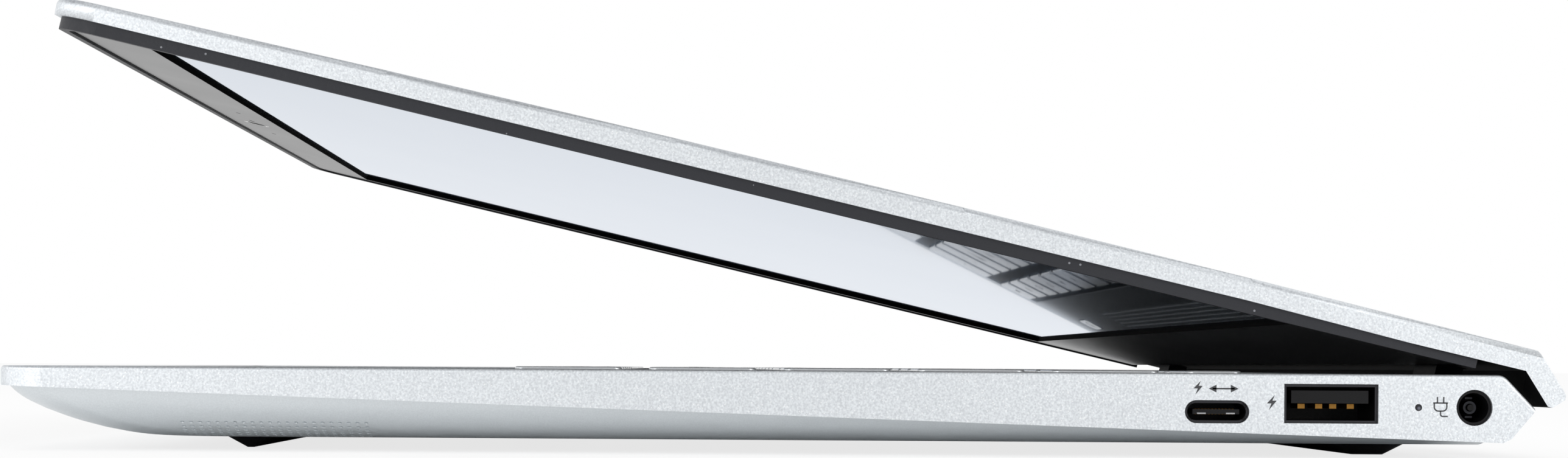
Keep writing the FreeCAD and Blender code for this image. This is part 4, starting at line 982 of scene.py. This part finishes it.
def triangle(across, up, turn):
    return [(across + TRIANGLE_SIZE * math.cos(turn + math.tau * step / 3),
             up + TRIANGLE_SIZE * math.sin(turn + math.tau * step / 3)) for step in range(3)]


arrow_keys = loose_parts("arrow_keys")
arrow_middles = [(low + high) / 2 for low, high in arrow_keys]
cluster = sum(arrow_middles, Vector()) / len(arrow_middles)
signs = []
for place in arrow_middles:
    away = place - cluster
    turn = math.copysign(math.pi / 2, away.y)
    if abs(away.x) > SIDE_KEY_SHIFT:
        turn = 0 if away.x > 0 else math.pi
    signs.append(triangle(place.x / MM, build_place(place)[0], turn))
key_height = (arrow_keys[0][1].z - DECK) / MM
printed("arrow_signs", signs, deck, key_height, "arrow_keys", key_ink)

button = middle_of("power_button")
across, up = button.x / MM, build_place(button)[0]
turns = [math.radians(SIGN_START + SIGN_SWEEP * step / SIGN_STEPS) for step in range(SIGN_STEPS + 1)]
broken_ring = [(across + SIGN_RING * math.cos(turn), up + SIGN_RING * math.sin(turn)) for turn in turns]
power_sign = [stroke(broken_ring, SIGN_LINE), oblong(across, up + SIGN_BAR_UP, SIGN_LINE, SIGN_BAR)]
button_height = (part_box("power_button")[1].z - DECK) / MM
printed("power_sign", power_sign, deck, button_height, "power_button", key_ink)
print("signs:", len(signs) + 1)

# %% [markdown]
# Two pieces of the lid have two finishes each. The printed border of the screen is glossy on its face,
# but its cut edges, which show as a dark band beside the glass, are plain black. The faces of the
# aluminium lid on the inside of its bent-down tail are drawn plain black too. Both are told apart by
# the direction in which a face looks when the lid is turned shut.
# %% Screen border and lid shell
TAIL_START = -14 * MM
EDGE_FACING, TAIL_INNER_DOWN, TAIL_INNER_REAR = 0.5, -0.3, 0.1
lid_joint = [joint for joint in frame["joints"] if joint["name"] == "lid_hinge"][0]
HINGE = Vector(lid_joint["pos_m"])
closing = Matrix.Rotation(math.radians(-lid_joint["range_deg"][0]), 3, "X")


def is_cut_edge(place, facing):
    return abs(facing.z) < EDGE_FACING


# Faces on the inside of the bent-down tail, which are drawn plain black.
def is_inside_tail(place, facing):
    return place.y > TAIL_START and facing.z < TAIL_INNER_DOWN and facing.y < TAIL_INNER_REAR


def two_finishes(node, name, first, second, is_second):
    piece = working_copy(node, name, first, second)
    for face in piece.data.polygons:
        face.material_index = int(is_second(closing @ (face.center - HINGE), closing @ face.normal))
    stand_in(piece, node, "lid")
    print(name, "faces of the second finish:", sum(face.material_index for face in piece.data.polygons))
    return piece


screen_border = two_finishes(
    "display_bezel", "screen_border", bezel_gloss, border_black, is_cut_edge)
two_finishes("lid_cover", "lid_shell", silver, border_black, is_inside_tail)

# %% [markdown]
# In the border above the screen sits the camera: a lens behind a small dark ring, a tiny lamp beside it
# and a pinhole for a microphone on each side. The pinholes are not cut: matt black dots stand for
# them, painted shade of the holes. They lie in the plane of the tilted lid, so one more plane follows
# the border's face.
# %% Camera trim and microphones
LENS_RING_OUTER, LENS_RING_INNER = 2.5, 1.85
MICROPHONE_SHIFT, MICROPHONE_RADIUS = 24.0, 0.45
LAMP_SHIFT, LAMP_RADIUS = 6.5, 0.55
DOT_SIDES = 16
border_height = -min((closing @ (vert.co - HINGE)).z for vert in screen_border.data.vertices) / MM
lens_up = -(closing @ (middle_of("webcam_lens") - HINGE)).y / MM


def screen_face(across, up, out):
    return HINGE + closing.inverted() @ Vector((across * MM, -up * MM, -out * MM))


ring = bmesh.new()
tube(ring, circle(0, lens_up, LENS_RING_OUTER), circle(0, lens_up, LENS_RING_INNER),
     border_height - INK, border_height + 2 * INK, screen_face)
finished("camera_ring", ring, lens_gloss, "lid")
# Flat matt black dots: the lamp's dark window, and painted shade where the microphone pinholes are.
dots = bmesh.new()
microphones = [(side * MICROPHONE_SHIFT, MICROPHONE_RADIUS) for side in (-1, 1)]
for across, radius in microphones + [(LAMP_SHIFT, LAMP_RADIUS)]:
    outline = circle(across, lens_up, radius, DOT_SIDES)
    plate(dots, outline, border_height - INK, border_height + INK, screen_face)
finished("camera_dots", dots, border_black, "lid")
print("camera sits", round(lens_up, 1), "mm from the hinge")

# %% [markdown]
# The room is a plain studio: white all round near the horizon and greyer overhead, which is what draws
# the thin dark line along the rounded edge of the lid. Towards the rear the ceiling is white too, and
# behind the camera the room is dimmer in mirrors. The camera, mirrors and glass see this room; as a
# lamp it is an even, slightly weaker white.
# %% Studio room
ROOM_SHADES = [
    (0.0, WHITE), (0.42, WHITE), (0.66, (0.5, 0.51, 0.53, 1)), (0.82, (0.18, 0.18, 0.19, 1)),
    (0.97, (0.42, 0.42, 0.43, 1))]
REAR_START, REAR_END = 0.05, 0.35
BACK_START, BACK_END, BACK_DIM = 0.78, 1.0, 0.65
ROOM_LIGHT = 0.9
world = bpy.data.worlds.new("studio")
bpy.context.scene.world = world
world.use_nodes = True
room = Tree(world.node_tree)
path = room.node("ShaderNodeLightPath")
mirrored = path.out("Is Glossy Ray")
seen = room.maths("MAXIMUM", path.out("Is Camera Ray"), mirrored)
seen = room.maths("MAXIMUM", seen, path.out("Is Transmission Ray"))
ray = room.node("ShaderNodeSeparateXYZ", {}, {"Vector": room.node("ShaderNodeTexCoord", out="Generated")})
shade = room.node("ShaderNodeValToRGB", {"stops": ROOM_SHADES}, {"Fac": ray.out("Z")})
shade = room.blend(room.fade(ray.out("Y"), REAR_START, REAR_END), shade, WHITE)
dim = room.fade(ray.out("X"), BACK_START, BACK_END, 0.0, BACK_DIM)
light = room.node("ShaderNodeBackground", {}, {"Color": WHITE, "Strength": ROOM_LIGHT})
view = room.node("ShaderNodeBackground", {}, {"Color": shade, "Strength": 1.0 - dim * mirrored})
both = room.node("ShaderNodeMixShader", {}, {0: seen, 1: light, 2: view})
room.node("ShaderNodeOutputWorld", {}, {"Surface": both})
print("room:", len(room.data.nodes), "nodes")

# %% [markdown]
# Soft lamps do the rest: one on each side of the camera for the wall, one where the user sits for the
# screen and the front, and a large weak one overhead. The camera doesn't see them.
# %% Lamps
def soft_lamp(name, place, target, wide, tall, power):
    lamp = bpy.data.lights.new(name, "AREA")
    lamp.shape, lamp.size, lamp.size_y, lamp.energy = "RECTANGLE", wide, tall, power
    holder = link(lamp, name)
    holder.location = place
    holder.rotation_euler = (Vector(target) - Vector(place)).to_track_quat("-Z", "Y").to_euler()
    holder.visible_camera = False
    print(name, "of", power, "W")


soft_lamp("front_lamp", (0.80, -0.48, 0.16), target=(0.15, -0.05, 0.02), wide=0.5, tall=0.6, power=1.75)
soft_lamp("rear_lamp", (0.75, 0.55, 0.20), target=(0.15, 0.08, 0.02), wide=0.5, tall=0.6, power=1.65)
soft_lamp("user_lamp", (0.25, -0.95, 0.25), target=(0.05, -0.1, 0.03), wide=0.8, tall=0.5, power=0.9)
soft_lamp("overhead_lamp", (0.0, 0.0, 1.1), target=(0.0, 0.0, 0.0), wide=1.2, tall=1.2, power=1.0)

# %% [markdown]
# The floor is white paper. To the camera it is mostly plain white, with a little of the object's
# shadow; in the metal it looks bright beside the object and keeps its shadow under it.
# %% Floor
FLOOR_REACH = 30.0
CAMERA_WHITE, MIRROR_WHITE = 0.78, 0.7
CLEAR_START, CLEAR_END = -12 * MM, 6 * MM


def white_paper(name):
    paper = Finish(name)
    path = paper.node("ShaderNodeLightPath")
    mirrored = paper.maths("MAXIMUM", path.out("Is Glossy Ray"), path.out("Is Transmission Ray"))
    spot = paper.node("ShaderNodeSeparateXYZ", {}, {"Vector": paper.place()})
    aside = paper.maths("ABSOLUTE", spot.out("X")) - HALF * MM
    behind = paper.maths("ABSOLUTE", spot.out("Y")) - case_high.y
    outside = paper.maths("MAXIMUM", aside, behind)
    clear = paper.fade(outside, CLEAR_START, CLEAR_END, 0.0, MIRROR_WHITE)
    seen = CAMERA_WHITE * path.out("Is Camera Ray") + clear * mirrored
    matt = paper.node("ShaderNodeBsdfDiffuse", {}, {"Color": (0.92, 0.92, 0.92, 1)})
    white = paper.node("ShaderNodeEmission", {}, {"Color": WHITE, "Strength": 1.0})
    both = paper.node("ShaderNodeMixShader", {}, {0: seen, 1: matt, 2: white})
    paper.node("ShaderNodeOutputMaterial", {}, {"Surface": both})
    return paper.material


sheet = bmesh.new()
sheet.faces.new([sheet.verts.new((a, b, 0)) for a, b in oblong(0, 0, 2 * FLOOR_REACH, 2 * FLOOR_REACH)])
floor = link(as_mesh(sheet, "floor"), "floor")
floor.data.materials.append(white_paper("paper"))
print("floor:", 2 * FLOOR_REACH, "m wide; finishes in all:", len(Finish.made))
